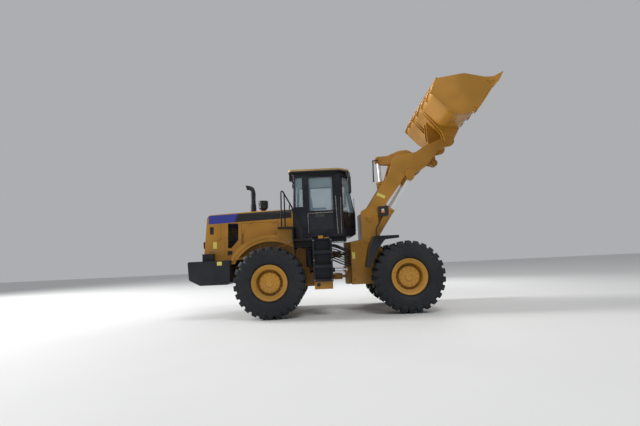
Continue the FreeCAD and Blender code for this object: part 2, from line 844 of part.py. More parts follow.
def window_prisms(gap):
    """Prisms through the panes of the fixed glass, each smaller by gap all round."""
    y_far = cab_half_width + 50
    panes = [
        prism([(600, -240 + gap), (100, -240 + gap), (100, 240 - gap), (600, 240 - gap)], "xy",
              1990 + gap, window_top_z - gap),
        box(cab_back_x - 50, cab_back_x + 120, -560 + gap, 560 - gap, 2350 + gap, window_top_z - gap),
    ]
    quarter = [(-960 + gap, 2520 + gap), (-925 + gap, window_top_z - gap),
               (-755 - gap, window_top_z - gap), (-755 - gap, 2520 + gap)]
    corner = [(460 - gap, 310 + gap), (600, 420), (420, 860), (210 + gap, 745 - gap), (100, 600),
              (300, 310 + gap)]
    for side in (-1, 1):
        panes.append(prism(quarter, "xz", side * (y_far - 130), side * y_far))
        panes.append(prism([(x, side * y) for x, y in corner], "xy", 1990 + gap, window_top_z - 20 - gap))
    return panes


cab_outer = cab_body(0)
cab_shell = cab_outer.cut(cab_body(cab_wall))
door_openings = both(box(door_back_x, door_front_x, cab_half_width - cab_wall - 5, cab_half_width + 5,
                         door_bottom_z - door_gap, door_top_z + door_gap))
cab_shell = cab_shell.cut(window_prisms(0) + door_openings)
floor_tray = box(-560, 250, -500, 500, 1685, cab_floor_z + 10)
cab_pieces = [cab_shell, floor_tray]
for x in cross_beam_x:
    for y in (-560, 560):
        cab_pieces.append(upright(x, y, rail_head_top_z + cross_beam_height, cab_floor_z + 1,
                                  cab_mount_radius))
hinge_heights = (2050, 3000)
hinge_x = door_back_x - 10
for z in hinge_heights:
    leaf = box(hinge_x - 60, hinge_x, cab_half_width, door_hinge_out + 4, z - 60, z - 2)
    knuckle = upright(hinge_x, door_hinge_out, z - 60, z - 2, door_knuckle_radius)
    pin = upright(hinge_x, door_hinge_out, z - 2, z + 56, door_pin_radius)
    cab_pieces += both(joined([leaf, knuckle, pin]))
keep("cab_frame", [joined(cab_pieces)])

glass_layer = cab_body(glass_inset).cut(cab_body(glass_inset + glass_thickness))
keep("cab_glass", [glass_layer.common(pane) for pane in window_prisms(seat_gap)])



def roof_plan(inset):
    half = cab_half_width + 60 - inset
    return [(-1080 + inset, -half, 80), (120 - inset / 2, -half, 80), (390 - inset, -half + 260, 80),
            (390 - inset, half - 260, 80), (120 - inset / 2, half, 80), (-1080 + inset, half, 80)]


roof_low_z = cab_top_z + roof_neck
roof_high_z = roof_low_z + roof_thickness
keep("cab_roof", [joined([
    prism(roof_plan(75), "xy", cab_top_z, roof_low_z),
    prism(roof_plan(0), "xy", roof_low_z, roof_high_z - 14),
    prism(roof_plan(14), "xy", roof_high_z - 14, roof_high_z),
    prism(roof_plan(170), "xy", roof_high_z, roof_high_z + roof_crown),
])])

# Cab doors: a frame with an upper and a lower pane, on two hinges at the rear edge
door_windows = [
    (door_back_x + 85, door_front_x - 50, 2420, door_top_z - 45),
    (door_back_x + 60, door_front_x - 60, 1965, 2345),
]
door = box(door_back_x + door_gap, door_front_x - door_gap, cab_half_width - cab_wall, cab_half_width,
           door_bottom_z, door_top_z)
door_glass = []
for x0, x1, z0, z1 in door_windows:
    door = door.cut(box(x0, x1, cab_half_width - cab_wall - 1, cab_half_width + 1, z0, z1))
    door_glass.append(box(x0 + seat_gap, x1 - seat_gap, cab_half_width - glass_inset - glass_thickness,
                          cab_half_width - glass_inset, z0 + seat_gap, z1 - seat_gap))
door_pieces = [door]
for z in hinge_heights:
    leaf = box(hinge_x, hinge_x + 80, cab_half_width, door_hinge_out, z + 2, z + 54)
    knuckle = upright(hinge_x, door_hinge_out, z + 2, z + 54, door_knuckle_radius)
    door_pieces.append(leaf.fuse(knuckle))
door_pieces.append(box(door_front_x - 45, door_front_x - 20, cab_half_width, cab_half_width + 35, 2355, 2410))
door_bore = upright(hinge_x, door_hinge_out, 1900, 3200, door_pin_radius + fit_gap)
door = joined(door_pieces).cut(door_bore)
for name, turn in (("right", mirrored), ("left", lambda shape: shape)):
    keep("door_" + name, [turn(door)])
    keep("door_glass_" + name, [turn(pane) for pane in door_glass])

# Operator's seat, steering column and console
floor_in = cab_floor_z + cab_wall
keep("seat", [joined([
    box(-560, -160, -200, 200, floor_in, floor_in + 280),
    box(-620, -100, -260, 260, floor_in + 280, floor_in + 420),
    prism([(-700, floor_in + 380), (-560, floor_in + 380), (-640, floor_in + 1050),
           (-740, floor_in + 1050)], "xz", -250, 250),
])])
column_foot = Vec(300, 0, floor_in + 60)
column_head = Vec(170, 0, floor_in + 700)
keep("console", [joined([
    rod(column_foot, column_head, 45),
    rod(column_head, column_head + Vec(-8, 0, 40), 190),
    box(150, 375, -200, 200, floor_in, floor_in + 180),
])])

# Work lamps on the roof and mirrors beside the cab
lamps = []
for y in (-500, 500):
    lamps.append(box(360, 405, y - 90, y + 90, cab_top_z - 75, roof_low_z))
    lamps.append(box(-1075, -1008, y - 80, y + 80, cab_top_z - 95, roof_low_z))
keep("work_lamps", lamps)
mirror_arm = bent_tube([
    Vec(240, 620, 3235), Vec(350, 950, 3250), Vec(350, 1080, 3250), Vec(350, 1080, 3120),
], 12, 30)
mirror_head = box(320, 380, 980, 1180, 2760, 3130)
keep("mirrors", both(joined([mirror_arm, mirror_head]).cut(cab_outer)))


# Front frame: hitch head, bulkhead, two double plates for the boom, tower walls and axle nose

outer_plate_outline = [
    (bulkhead_x + frame_plate, hitch_bottom_z),
    (bulkhead_x + frame_plate, frame_top_z),
    (tower_back_x, frame_top_z + 40),
    (tower_back_x, 2380, 60),
    (930, 2540, 80),
    (1035, 2330, 80),
    (1060, 1500, 60),
    (1200, 1250, 60),
    (1200, 1000, 60),
    (1120, hitch_bottom_z),
]
inner_plate_outline = [
    (bulkhead_x + frame_plate, hitch_bottom_z),
    (bulkhead_x + frame_plate, frame_top_z),
    (tower_back_x, frame_top_z + 40),
    (tower_back_x, 2350, 60),
    (900, 2450, 80),
    (1010, 2450),
    (1010, 1420, 80),
    (1250, 1120, 80),
    (1800, 1080, 60),
    (1800, nose_bottom_z, 40),
    (1260, nose_bottom_z, 80),
    (1120, hitch_bottom_z),
]
outer_plate = prism(outer_plate_outline, "xz", outer_plate_out - outer_plate_thickness, outer_plate_out)
inner_plate = prism(inner_plate_outline, "xz", inner_plate_out - inner_plate_thickness, inner_plate_out)
front_head_cheek = box(hitch_head_back, bulkhead_x, hitch_head_half_width - frame_plate,
                       hitch_head_half_width, hitch_bottom_z, frame_top_z)
front_frame = both(outer_plate) + both(inner_plate) + both(front_head_cheek) + front_lugs + [
    box(hitch_head_back, hitch_head_back + frame_plate, -hitch_head_half_width, hitch_head_half_width,
        hitch_bottom_z, frame_top_z),
    box(bulkhead_x, bulkhead_x + frame_plate, -outer_plate_out, outer_plate_out,
        hitch_bottom_z, frame_top_z),
    box(tower_back_x, tower_back_x + 25, -outer_plate_out, outer_plate_out, frame_top_z, 2330),
    box(985, 1010, -inner_plate_out, inner_plate_out, 1150, 2440),
    box(1010, 1760, -inner_plate_out, inner_plate_out, nose_bottom_z + 90, nose_bottom_z + 115),
]
for at, radius in ((boom_pivot, boom_pin_radius), (lift_base, lift_pin_radius)):
    pin = cross_pin(at, inner_plate_out - 40, outer_plate_out + 15, radius)
    front_frame += both(pin)
    boss = cross_pin(at, outer_plate_out - 1, outer_plate_out + 12, radius + 35)
    front_frame += both(boss)
tilt_ear = prism([(1000, 2090), (1000, 2375), (1230, 2385), (1260, 2220)], "xz",
                 link_half + 36, link_half + 71)
tilt_ear = tilt_ear.fuse(cross_pin(tilt_base, link_half + 36, link_half + 71, 90))
front_frame += both(tilt_ear)
front_frame.append(cross_pin(tilt_base, -link_half - 85, link_half + 85, tilt_pin_radius))
for ear in steer_ears(steer_front_pivot, hitch_head_half_width):
    front_frame += both(ear)
keep("front_frame", [joined(front_frame)])


# Shaft to the front axle, in a bearing on the bulkhead
shaft_back_x = bulkhead_x + frame_plate
shaft_front_x = wheelbase / 2 - front_nose_length
keep("drive_shaft", [joined([
    rod(Vec(shaft_back_x, 0, tyre_radius), Vec(shaft_front_x, 0, tyre_radius), 42),
    rod(Vec(shaft_back_x, 0, tyre_radius), Vec(shaft_back_x + 45, 0, tyre_radius), 95),
    rod(Vec(shaft_front_x - 30, 0, tyre_radius), Vec(shaft_front_x, 0, tyre_radius), 85),
])])


# Front fenders: a bent sheet behind each wheel on a bracket from the tower

fender_path = [(1370, 1712), (830, 1712), (722, 1470), (647, 1138), (640, 1040)]
fender_sheet_outline = fender_path + [(626, 1040), (633, 1142), (708, 1477), (820, 1730), (1370, 1730)]
front_fender = prism(fender_sheet_outline, "xz", 800, 1340)
fender_skirt = prism(fender_path[1:] + [(690, 1040), (776, 1199), (903, 1450), (1050, 1640), (1370, 1668),
                                        (1370, 1712)], "xz", 1318, 1340)
fender_bracket = box(930, 1030, outer_plate_out, 1100, 1620, 1715)
keep("front_fenders", both(joined([front_fender, fender_skirt, fender_bracket])))

headlamp = joined([
    bent_tube([Vec(915, 1000, 1725), Vec(915, 1000, 1900), Vec(1080, 1000, 2205)], 16, 60),
    box(985, 1205, 890, 1110, 2195, 2415),
])
keep("headlamps", both(headlamp.cut(front_fender)))


# Boom: two arms on a cross tube, brackets for the bellcrank and ears for the lift cylinders

arm_in = boom_arm_y - boom_arm_thickness / 2
arm_out = boom_arm_y + boom_arm_thickness / 2
arm_outline = [
    (672, 2290), (1400, 3350, 400), (1530, 3760, 140), (2080, 3810, 200), (2330, 3965, 200), (2900, 4186),
    (2990, 3945), (2700, 3880, 150), (2300, 3430, 150), (2090, 3300, 60),
    (1960, 3335, 50), (1790, 3255, 60), (1630, 3010, 200), (1320, 2620, 300), (975, 2130),
]
arm = prism(arm_outline, "xz", arm_in, arm_out)
half_foot = boom_foot_thickness / 2
half_nose = boom_nose_thickness / 2
foot = cross_pin(boom_pivot, boom_arm_y - half_foot, boom_arm_y + half_foot, boom_foot_radius)
nose = cross_pin(bucket_pivot, boom_arm_y - half_nose, boom_arm_y + half_nose, boom_nose_radius)
lift_ear_outline = [(1790, 3360), (2060, 3400), (2030, 3260), (1980, 3150), (1820, 3150), (1775, 3250)]
boom_half = [arm, foot, nose]
for out in (-1, 1):
    stations = [boom_arm_y + out * (boom_arm_thickness / 2 + step) for step in lift_ear_steps]
    pad, ear, cap = [sorted(pair) for pair in zip(stations, stations[1:])]
    boom_half.append(prism(lift_ear_outline, "xz", *pad).common(prism(arm_outline, "xz", *pad)))
    boom_half.append(prism(lift_ear_outline, "xz", *ear))
    boom_half.append(cross_pin(lift_eye, *ear, 88))
    boom_half.append(cross_pin(lift_eye, *cap, 60))
boom_half = joined(boom_half).cut([
    cross_pin(boom_pivot, 0, 700, boom_pin_radius + fit_gap),
    cross_pin(bucket_pivot, 0, 700, bucket_pin_radius + fit_gap),
])
bracket = prism([(1640, 3370), (1860, 3370), (1925, 3820), (1675, 3820)], "xz",
                crank_bracket_in, crank_bracket_out)
bracket = bracket.fuse(cross_pin(crank_pivot, crank_bracket_in, crank_bracket_out, 125))
bracket = bracket.cut(cross_pin(crank_pivot, 0, 200, crank_pin_radius + fit_gap))
tube = cross_pin(cross_tube_at, -arm_in, arm_in, cross_tube_radius)
keep("boom", [joined(both(boom_half) + both(bracket) + [tube])])


# Hydraulic cylinders: a barrel with its eye, and a rod that runs in it

def direction(start, end):
    return (Vec(end[0], 0, end[1]) - Vec(start[0], 0, start[1])).normalize()


def barrel(base, head, y, radius, gland_at, eye_radius, eye_half, pin_radius, bore_radius):
    """Barrel from the pivot base toward head, bored for its rod and its pin."""
    along = direction(base, head)
    foot = Vec(base[0], y, base[1])
    body = [
        cross_pin(base, y - eye_half, y + eye_half, eye_radius),
        rod(foot, foot + along * gland_at, radius),
        rod(foot + along * (gland_at - 60), foot + along * gland_at, radius + 10),
    ]
    bore = rod(foot + along * (eye_radius + 40), foot + along * (gland_at + 1), bore_radius)
    pin_hole = cross_pin(base, y - 200, y + 200, pin_radius + fit_gap)
    side = joined(body)
    # the eye is as wide as its clevis allows, so the barrel is trimmed beside it
    clevis = rod(foot - along * eye_radius, foot + along * (eye_radius + 12), radius + 30)
    clevis = clevis.cut(box(-5000, 5000, y - eye_half, y + eye_half, 0, 6000))
    return side.cut([bore, pin_hole, clevis])


def piston_rod(base, head, y, radius, tail_at, eye_radius, eye_half):
    """Rod with a closed eye at head; its other end lies tail_at from base, in the barrel."""
    along = direction(base, head)
    return joined([
        cross_pin(head, y - eye_half, y + eye_half, eye_radius),
        rod(Vec(base[0], y, base[1]) + along * tail_at, Vec(head[0], y, head[1]), radius),
    ])


lift_barrel = barrel(lift_base, lift_eye, boom_arm_y, lift_barrel_radius, lift_gland_at, 85, 80,
                     lift_pin_radius, lift_rod_radius + fit_gap)
keep("lift_barrels", both(lift_barrel))
lift_rod = piston_rod(lift_base, lift_eye, boom_arm_y, lift_rod_radius, lift_rod_tail_at,
                      lift_eye_radius, boom_arm_thickness / 2 + lift_ear_steps[1] - side_gap)
keep("lift_rods", both(lift_rod))
keep("tilt_barrel", [barrel(tilt_base, crank_tail, 0, tilt_barrel_radius, tilt_gland_at, 85,
                            link_half + 28, tilt_pin_radius, tilt_rod_radius + fit_gap)])
keep("tilt_rod", [piston_rod(tilt_base, crank_tail, 0, tilt_rod_radius, tilt_rod_tail_at, 70, 38)])


# Bellcrank: one core plate with a fork at each end, its pin, and the link to the bucket

crank_outline = [
    (1150, 3822), (1440, 3842, 150), (1700, 3955, 120), (1950, 3985, 150), (2200, 3850, 250),
    (2680, 3665), (2590, 3520), (2180, 3640, 300), (1850, 3680, 100), (1480, 3610, 150), (1235, 3630),
]
crank_core = prism(crank_outline, "xz", -crank_core_half, crank_core_half)
crank_core = crank_core.common(box(1410, 2420, -100, 100, 3000, 4500))
crank_cheek = prism(crank_outline, "xz", crank_core_half, crank_cheek_out)
crank_cheek = crank_cheek.cut(box(1560, 2280, 0, 200, 3000, 4500))
crank_ends = [cross_pin(at, crank_core_half, crank_cheek_out, 92) for at in (crank_tail, crank_foot)]
crank_caps = cross_pin(crank_tail, crank_cheek_out, crank_cheek_out + 14, 55)
cheek = joined([crank_cheek, crank_caps] + crank_ends)
cheek = cheek.cut(cross_pin(crank_foot, 0, 200, link_pin_radius + fit_gap))
crank_hub_half = crank_bracket_in - side_gap
hub = cross_pin(crank_pivot, -crank_hub_half, crank_hub_half, crank_ring_radius)
crank = joined([crank_core, hub] + both(cheek))
keep("bellcrank", [crank.cut(cross_pin(crank_pivot, -200, 200, crank_hub_radius + fit_gap))])


def headed_pin(at, y_in, y_out, radius, head_radius, head):
    """Pin along Y between two outer faces, with a flat head against each."""
    return joined([
        cross_pin(at, y_in - head, y_out + head, radius),
        cross_pin(at, y_in - head, y_in - seat_gap, head_radius),
        cross_pin(at, y_out + seat_gap, y_out + head, head_radius),
    ])


keep("bellcrank_pin", [joined([
    headed_pin(crank_pivot, -crank_bracket_out, crank_bracket_out, crank_pin_radius, 85, 18),
    cross_pin(crank_pivot, -crank_hub_half, crank_hub_half, crank_hub_radius),
])])
keep("link_pin", [headed_pin(crank_foot, -crank_cheek_out, crank_cheek_out, link_pin_radius, 62, 16)])


def on_bucket(x, z):
    """Side-view place, at rest, of a point given in the bucket's own view."""
    angle = math.radians(bucket_rest_angle)
    return (
        bucket_pivot[0] + x * math.cos(angle) - z * math.sin(angle),
        bucket_pivot[1] + x * math.sin(angle) + z * math.cos(angle),
    )


link_head = on_bucket(link_to_bucket[0], link_to_bucket[1])
link_along = direction(crank_foot, link_head)
link_low = Vec(crank_foot[0], -link_half, crank_foot[1])
link_high = Vec(link_head[0], -link_half, link_head[1])
link_side = Vec(link_along.z, 0, -link_along.x) * 62
link_web = Part.Face(Part.makePolygon([
    link_low + link_side, link_high + link_side, link_high - link_side, link_low - link_side,
    link_low + link_side,
])).extrude(Vec(0, 2 * link_half, 0))
link = joined([
    link_web,
    cross_pin(crank_foot, -link_half, link_half, link_eye_radius),
    cross_pin(link_head, -link_lug_in + side_gap, link_lug_in - side_gap, link_eye_radius),
])
keep("link", [link.cut(cross_pin(crank_foot, -200, 200, link_pin_radius + fit_gap))])


# Bucket: a rolled wrapper between two side plates, lugs behind it and a toothed cutting edge

wrapper_outline = [
    (bucket_tip_x - tooth_length, bucket_floor_z), (75, bucket_floor_z, 510), (291, 979, 120),
    bucket_spill, (1120, 640, 250), (1306, 195, 200), (bucket_tip_x - tooth_length, bucket_floor_z + 45),
]
hollow_outline = [
    (bucket_tip_x + 200, bucket_floor_z + bucket_wall), (75 + bucket_wall, bucket_floor_z + bucket_wall, 485),
    (291 + bucket_wall, 979 - bucket_wall, 95), (bucket_spill[0] + 9, bucket_spill[1] - bucket_wall),
    (bucket_tip_x + 200, bucket_spill[1] - bucket_wall + 400),
]
bucket = prism(wrapper_outline, "xz", -bucket_half_width, bucket_half_width)
hollow_half = bucket_half_width - bucket_side_wall
bucket = bucket.cut(prism(hollow_outline, "xz", -hollow_half, hollow_half))
edge_outline = [
    (bucket_tip_x - tooth_length - edge_depth, bucket_floor_z - 15),
    (bucket_tip_x - tooth_length + 60, bucket_floor_z - 15),
    (bucket_tip_x - tooth_length + 20, bucket_floor_z - 15 + edge_thickness),
    (bucket_tip_x - tooth_length - edge_depth, bucket_floor_z - 15 + edge_thickness),
]
bucket_parts = [bucket, prism(edge_outline, "xz", -bucket_half_width, bucket_half_width)]
tooth_outline = [
    (bucket_tip_x - tooth_length - 170, bucket_floor_z - 30),
    (bucket_tip_x - tooth_length - 40, bucket_floor_z - 40),
    (bucket_tip_x, bucket_floor_z - 15),
    (bucket_tip_x - tooth_length - 30, bucket_floor_z + 92),
    (bucket_tip_x - tooth_length - 110, bucket_floor_z + 120),
    (bucket_tip_x - tooth_length - 170, bucket_floor_z + 60),
]
corner_outline = [
    (bucket_tip_x - tooth_length - 260, bucket_floor_z - 20),
    (bucket_tip_x - tooth_length - 60, bucket_floor_z - 38),
    (bucket_tip_x - tooth_length - 60, bucket_floor_z + 110),
    (bucket_tip_x - tooth_length - 120, bucket_floor_z + 190),
    (bucket_tip_x - tooth_length - 260, bucket_floor_z + 225),
]
tooth_pitch = (2 * bucket_half_width - tooth_width) / (tooth_count - 1)
for i in range(tooth_count):
    y = -bucket_half_width + i * tooth_pitch
    bucket_parts.append(prism(tooth_outline, "xz", y, y + tooth_width))
bucket_parts += both(prism(corner_outline, "xz", bucket_half_width - bucket_side_wall - 18, bucket_half_width))
nose_in = boom_arm_y - half_nose - side_gap
nose_out = boom_arm_y + half_nose + side_gap
hinge_lug_outline = [(-60, -95), (420, -40), (330, 420), (310, 930), (273, 925), (72, 263), (-95, 60)]
for y0, y1 in ((nose_in - bucket_lug_thickness, nose_in), (nose_out, nose_out + bucket_lug_thickness)):
    lug = prism(hinge_lug_outline, "xz", y0, y1)
    lug = lug.fuse(cross_pin((0, 0), y0, y1, 115))
    lug = lug.cut(cross_pin((0, 0), 0, 700, bucket_pin_radius + fit_gap))
    bucket_parts += both(lug)
link_lug_outline = [(-127, 250), (300, 200), (320, 760), (200, 700), (-180, 415)]
link_lug = prism(link_lug_outline, "xz", link_lug_in, link_lug_out)
link_lug = link_lug.fuse(cross_pin(link_to_bucket, link_lug_in, link_lug_out, 92))
link_lug = link_lug.fuse(cross_pin(link_to_bucket, link_lug_out, link_lug_out + 14, 55))
bucket_parts += both(link_lug)
spill_rib_outline = [(280, 965), (655, 1095), (622, 1104), (300, 1045)]
for i in range(spill_rib_count):
    y = (bucket_half_width - 9) * (2 * i / (spill_rib_count - 1) - 1)
    bucket_parts.append(prism(spill_rib_outline, "xz", y - 9, y + 9))
lug_room = prism(hollow_outline, "xz", -hollow_half, hollow_half)
edge_pieces = 4 + tooth_count
bucket_solid = joined([bucket_parts[0]] + [part.cut(lug_room) for part in bucket_parts[edge_pieces:]]
                      + bucket_parts[1:edge_pieces])
bucket_solid.rotate(Vec(0, 0, 0), Vec(0, 1, 0), -bucket_rest_angle)
bucket_solid.translate(Vec(bucket_pivot[0], 0, bucket_pivot[1]))
keep("bucket", [bucket_solid])
hinge_in = nose_in - bucket_lug_thickness
hinge_out_y = nose_out + bucket_lug_thickness
keep("bucket_pins", both(headed_pin(bucket_pivot, hinge_in, hinge_out_y, bucket_pin_radius, 70, 16)))


# Steering cylinders, level at each side of the hitch

def steer_cylinder(side):
    base = Vec(steer_rear_pivot[0], side * steer_rear_pivot[1], steer_z)
    head = Vec(steer_front_pivot[0], side * steer_front_pivot[1], steer_z)
    along = (head - base).normalize()
    half = steer_eye_height / 2
    body = joined([
        upright(base.x, base.y, steer_z - half, steer_z + half, steer_eye_radius),
        rod(base + along * 20, base + along * 100, 28),
        rod(base + along * 90, base + along * steer_gland_at, steer_barrel_radius),
    ])
    body = body.cut([
        upright(base.x, base.y, steer_z - 100, steer_z + 100, steer_pin_radius + fit_gap),
        rod(base + along * 110, base + along * (steer_gland_at + 1), steer_rod_radius + fit_gap),
    ])
    stem = joined([
        upright(head.x, head.y, steer_z - half, steer_z + half, steer_eye_radius - 4),
        rod(base + along * steer_rod_tail_at, head, steer_rod_radius),
    ])
    return body, stem


for name, side in (("right", -1), ("left", 1)):
    body, stem = steer_cylinder(side)
    keep("steer_barrel_" + name, [body])
    keep("steer_rod_" + name, [stem])


# The middle of the whole machine goes over the origin

low_x = min(shape.BoundBox.XMin for shape in nodes.values())
high_x = max(shape.BoundBox.XMax for shape in nodes.values())
middle_x = (low_x + high_x) / 2
for name, shape in nodes.items():
    shape.translate(Vec(-middle_x, 0, 0))
    shape.exportStep("parts/" + name + ".step")
    print(name, len(shape.Solids), round(shape.Volume / 1e9, 4), shape.isValid())
print("middle at", round(middle_x, 3), "nodes", len(nodes))
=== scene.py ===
# %% [markdown]
# # Dressing a wheel loader
# The machine comes in as a fixed frame of plain metal pieces that already have their real size and
# move on their own pins. This lesson gives each of them a finish, and adds the small forms that make
# the eye believe it: tyre lugs, wheel nuts, grilles, hoses, lamps and seat. A loader could be painted
# with pictures wrapped round it, but here every finish is worked out by nodes, so it stays sharp from
# any distance.

# %% Load the frame
import json
import math

import bmesh
import bpy
import numpy as np
from mathutils import Matrix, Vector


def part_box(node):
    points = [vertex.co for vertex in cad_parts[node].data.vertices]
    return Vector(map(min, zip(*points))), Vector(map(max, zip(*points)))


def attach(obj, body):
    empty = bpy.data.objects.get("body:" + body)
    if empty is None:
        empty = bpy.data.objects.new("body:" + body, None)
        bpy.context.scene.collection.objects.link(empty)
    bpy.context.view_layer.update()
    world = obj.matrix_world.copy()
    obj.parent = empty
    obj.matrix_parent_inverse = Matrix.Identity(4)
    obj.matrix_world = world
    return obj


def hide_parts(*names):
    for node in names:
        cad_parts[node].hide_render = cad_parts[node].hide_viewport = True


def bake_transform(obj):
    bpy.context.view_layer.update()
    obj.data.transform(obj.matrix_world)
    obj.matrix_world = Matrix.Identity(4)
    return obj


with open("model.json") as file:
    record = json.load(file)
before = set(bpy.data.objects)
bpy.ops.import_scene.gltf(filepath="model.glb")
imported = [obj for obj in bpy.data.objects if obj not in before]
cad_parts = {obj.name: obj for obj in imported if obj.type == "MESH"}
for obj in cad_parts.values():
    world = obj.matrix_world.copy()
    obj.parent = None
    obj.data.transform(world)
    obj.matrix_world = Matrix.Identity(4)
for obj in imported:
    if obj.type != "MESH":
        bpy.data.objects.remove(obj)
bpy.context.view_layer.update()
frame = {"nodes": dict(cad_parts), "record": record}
pins_low, pins_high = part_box("hitch_pins")
hitch_x = (pins_low.x + pins_high.x) / 2
print("pieces in the frame:", len(frame["nodes"]), "hitch at x", round(hitch_x, 4))

# %% [markdown]
# The two halves of the machine meet at the hitch. All places below are metres from its axis: x
# forward, y to the machine's left, z up from the ground. One function moves the finished points to
# where the frame keeps them, so no other line needs to know.

# %% Points into meshes


def to_frame(points):
    """Moves points measured from the hitch axis to the frame's own origin: x plus the hitch's x."""
    return np.asarray(points, float) + (hitch_x, 0.0, 0.0)


def sheet_faces(rows, columns, close_rows=False, close_columns=False):
    """Quads over a grid of points numbered row by row; closing joins the last row or column on."""
    r = np.arange(rows if close_rows else rows - 1)[:, None]
    c = np.arange(columns if close_columns else columns - 1)[None, :]
    below, beside = (r + 1) % rows, (c + 1) % columns
    corners = [r * columns + c, r * columns + beside, below * columns + beside, below * columns + c]
    return np.stack([np.broadcast_to(k, (r.size, c.size)) for k in corners], -1).reshape(-1, 4)


def surface(points, close_rows=False, close_columns=False, caps=False):
    """A form from a grid of points (rows, columns, 3); caps fill its first and last row."""
    rows, columns = points.shape[:2]
    faces = [sheet_faces(rows, columns, close_rows, close_columns)]
    if caps:
        ring = np.arange(columns)
        faces.append(np.stack([ring[::-1], ring + (rows - 1) * columns]))
    return points.reshape(-1, 3), faces


def joined(forms):
    """Several forms as one: points stacked, each face's numbers raised by the points before it."""
    points, faces, used = [], [], 0
    for some_points, some_faces in forms:
        points.append(some_points)
        faces += [f + used for f in some_faces]
        used += len(some_points)
    return np.concatenate(points), faces


def repeated(form, moves):
    """One form copied at each of the moves, an array (copies, 3) of shifts."""
    points, faces = form
    count, each = len(moves), len(points)
    many = (points[None] + np.asarray(moves, float)[:, None]).reshape(-1, 3)
    steps = np.arange(count)[:, None, None] * each
    return many, [(f[None] + steps).reshape(-1, f.shape[1]) for f in faces]


def flipped(form):
    """The form mirrored to the machine's other side: y changes sign and so does each face's turn."""
    points, faces = form
    return points * (1, -1, 1), [f[:, ::-1] for f in faces]


def both_sides(form):
    return joined([form, flipped(form)])


made_triangles = {}


def piece(name, form, body, material, sharp_angle=35):
    """A mesh that rides on a body, or on none; smooth where faces meet under an angle."""
    points, faces = form
    mesh = bpy.data.meshes.new(name)
    mesh.from_pydata(to_frame(points).tolist(), [], [f for group in faces for f in group.tolist()])
    mesh.polygons.foreach_set("use_smooth", np.ones(len(mesh.polygons), bool))
    mesh.set_sharp_from_angle(angle=math.radians(sharp_angle))
    mesh.materials.append(material)
    mesh.validate()
    made = bpy.data.objects.new(name, mesh)
    bpy.context.scene.collection.objects.link(made)
    if body is not None:
        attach(made, body)
    made_triangles[name] = sum(len(p.vertices) - 2 for p in mesh.polygons)
    return made


# %% [markdown]
# Most hardware is one of four forms: a bar with rounded corners, a tube along a path, a turned body,
# and a plate cut to an outline. Each could be a ready-made cube or cylinder with modifiers. Worked out
# as points, they keep their rounded edges at the right size and cost only a few faces.

# %% Bars, tubes, turned bodies and plates


def box_form(low, high, rounding=0.004, axis=2):
    """Bar with rounded edges: a rounded rectangle pushed along axis, drawn in at both ends."""
    low, high = np.minimum(low, high).astype(float), np.maximum(low, high).astype(float)
    order = [(axis + 1) % 3, (axis + 2) % 3, axis]
    lo, hi = low[order], high[order]
    rounding = min(rounding, 0.49 * float((hi - lo).min()))
    quarter = np.linspace(0, math.pi / 2, 4)
    inset = rounding * (1 - np.sin(quarter))
    rise = rounding * (1 - np.cos(quarter))
    insets = np.concatenate([inset, inset[::-1]])
    heights = np.concatenate([lo[2] + rise, hi[2] - rise[::-1]])
    turns = np.concatenate([quarter + k * math.pi / 2 for k in range(4)])
    quadrant = np.repeat(np.arange(4), 4)
    centre_u = np.where((quadrant == 0) | (quadrant == 3), hi[0] - rounding, lo[0] + rounding)
    centre_v = np.where(quadrant < 2, hi[1] - rounding, lo[1] + rounding)
    reach = rounding - insets[:, None]
    u = centre_u + reach * np.cos(turns)
    v = centre_v + reach * np.sin(turns)
    w = np.broadcast_to(heights[:, None], u.shape)
    grid = np.empty(u.shape + (3,))
    grid[..., order[0]], grid[..., order[1]], grid[..., order[2]] = u, v, w
    return surface(grid, close_columns=True, caps=True)


def frames_along(path):
    """Direction and two cross directions at each point of a path, without twist jumps."""
    ahead = np.gradient(path, axis=0)
    ahead /= np.linalg.norm(ahead, axis=1)[:, None]
    first = np.cross(ahead[0], (0, 0, 1) if abs(ahead[0][2]) < 0.9 else (0, 1, 0))
    side = [first / np.linalg.norm(first)]
    for direction in ahead[1:]:
        carried = side[-1] - direction * np.dot(side[-1], direction)
        side.append(carried / np.linalg.norm(carried))
    side = np.array(side)
    return ahead, side, np.cross(ahead, side)


def tube_form(path, radius, sides=12):
    """Round tube: at each point of the path a ring of radius times (cosine, sine) across it."""
    path = np.asarray(path, float)
    _, side, up = frames_along(path)
    turn = np.arange(sides) * 2 * math.pi / sides
    radius = np.broadcast_to(np.asarray(radius, float).reshape(-1, 1, 1), (len(path), 1, 1))
    ring = side[:, None] * np.cos(turn)[None, :, None] + up[:, None] * np.sin(turn)[None, :, None]
    return surface(path[:, None] + ring * radius, close_columns=True, caps=True)


def smooth_path(corners, steps=8):
    """Curve through a few corners: each span is a cubic with its ends' slopes (Catmull-Rom)."""
    c = np.asarray(corners, float)
    c = np.concatenate([[2 * c[0] - c[1]], c, [2 * c[-1] - c[-2]]])
    t = np.linspace(0, 1, steps, endpoint=False)[None, :, None]
    a, b, d, e = (c[k:len(c) - 3 + k, None] for k in range(4))
    spans = 0.5 * (2 * b + (d - a) * t + (2 * a - 5 * b + 4 * d - e) * t ** 2
                   + (3 * b - a - 3 * d + e) * t ** 3)
    return np.concatenate([spans.reshape(-1, 3), c[-2:-1]])


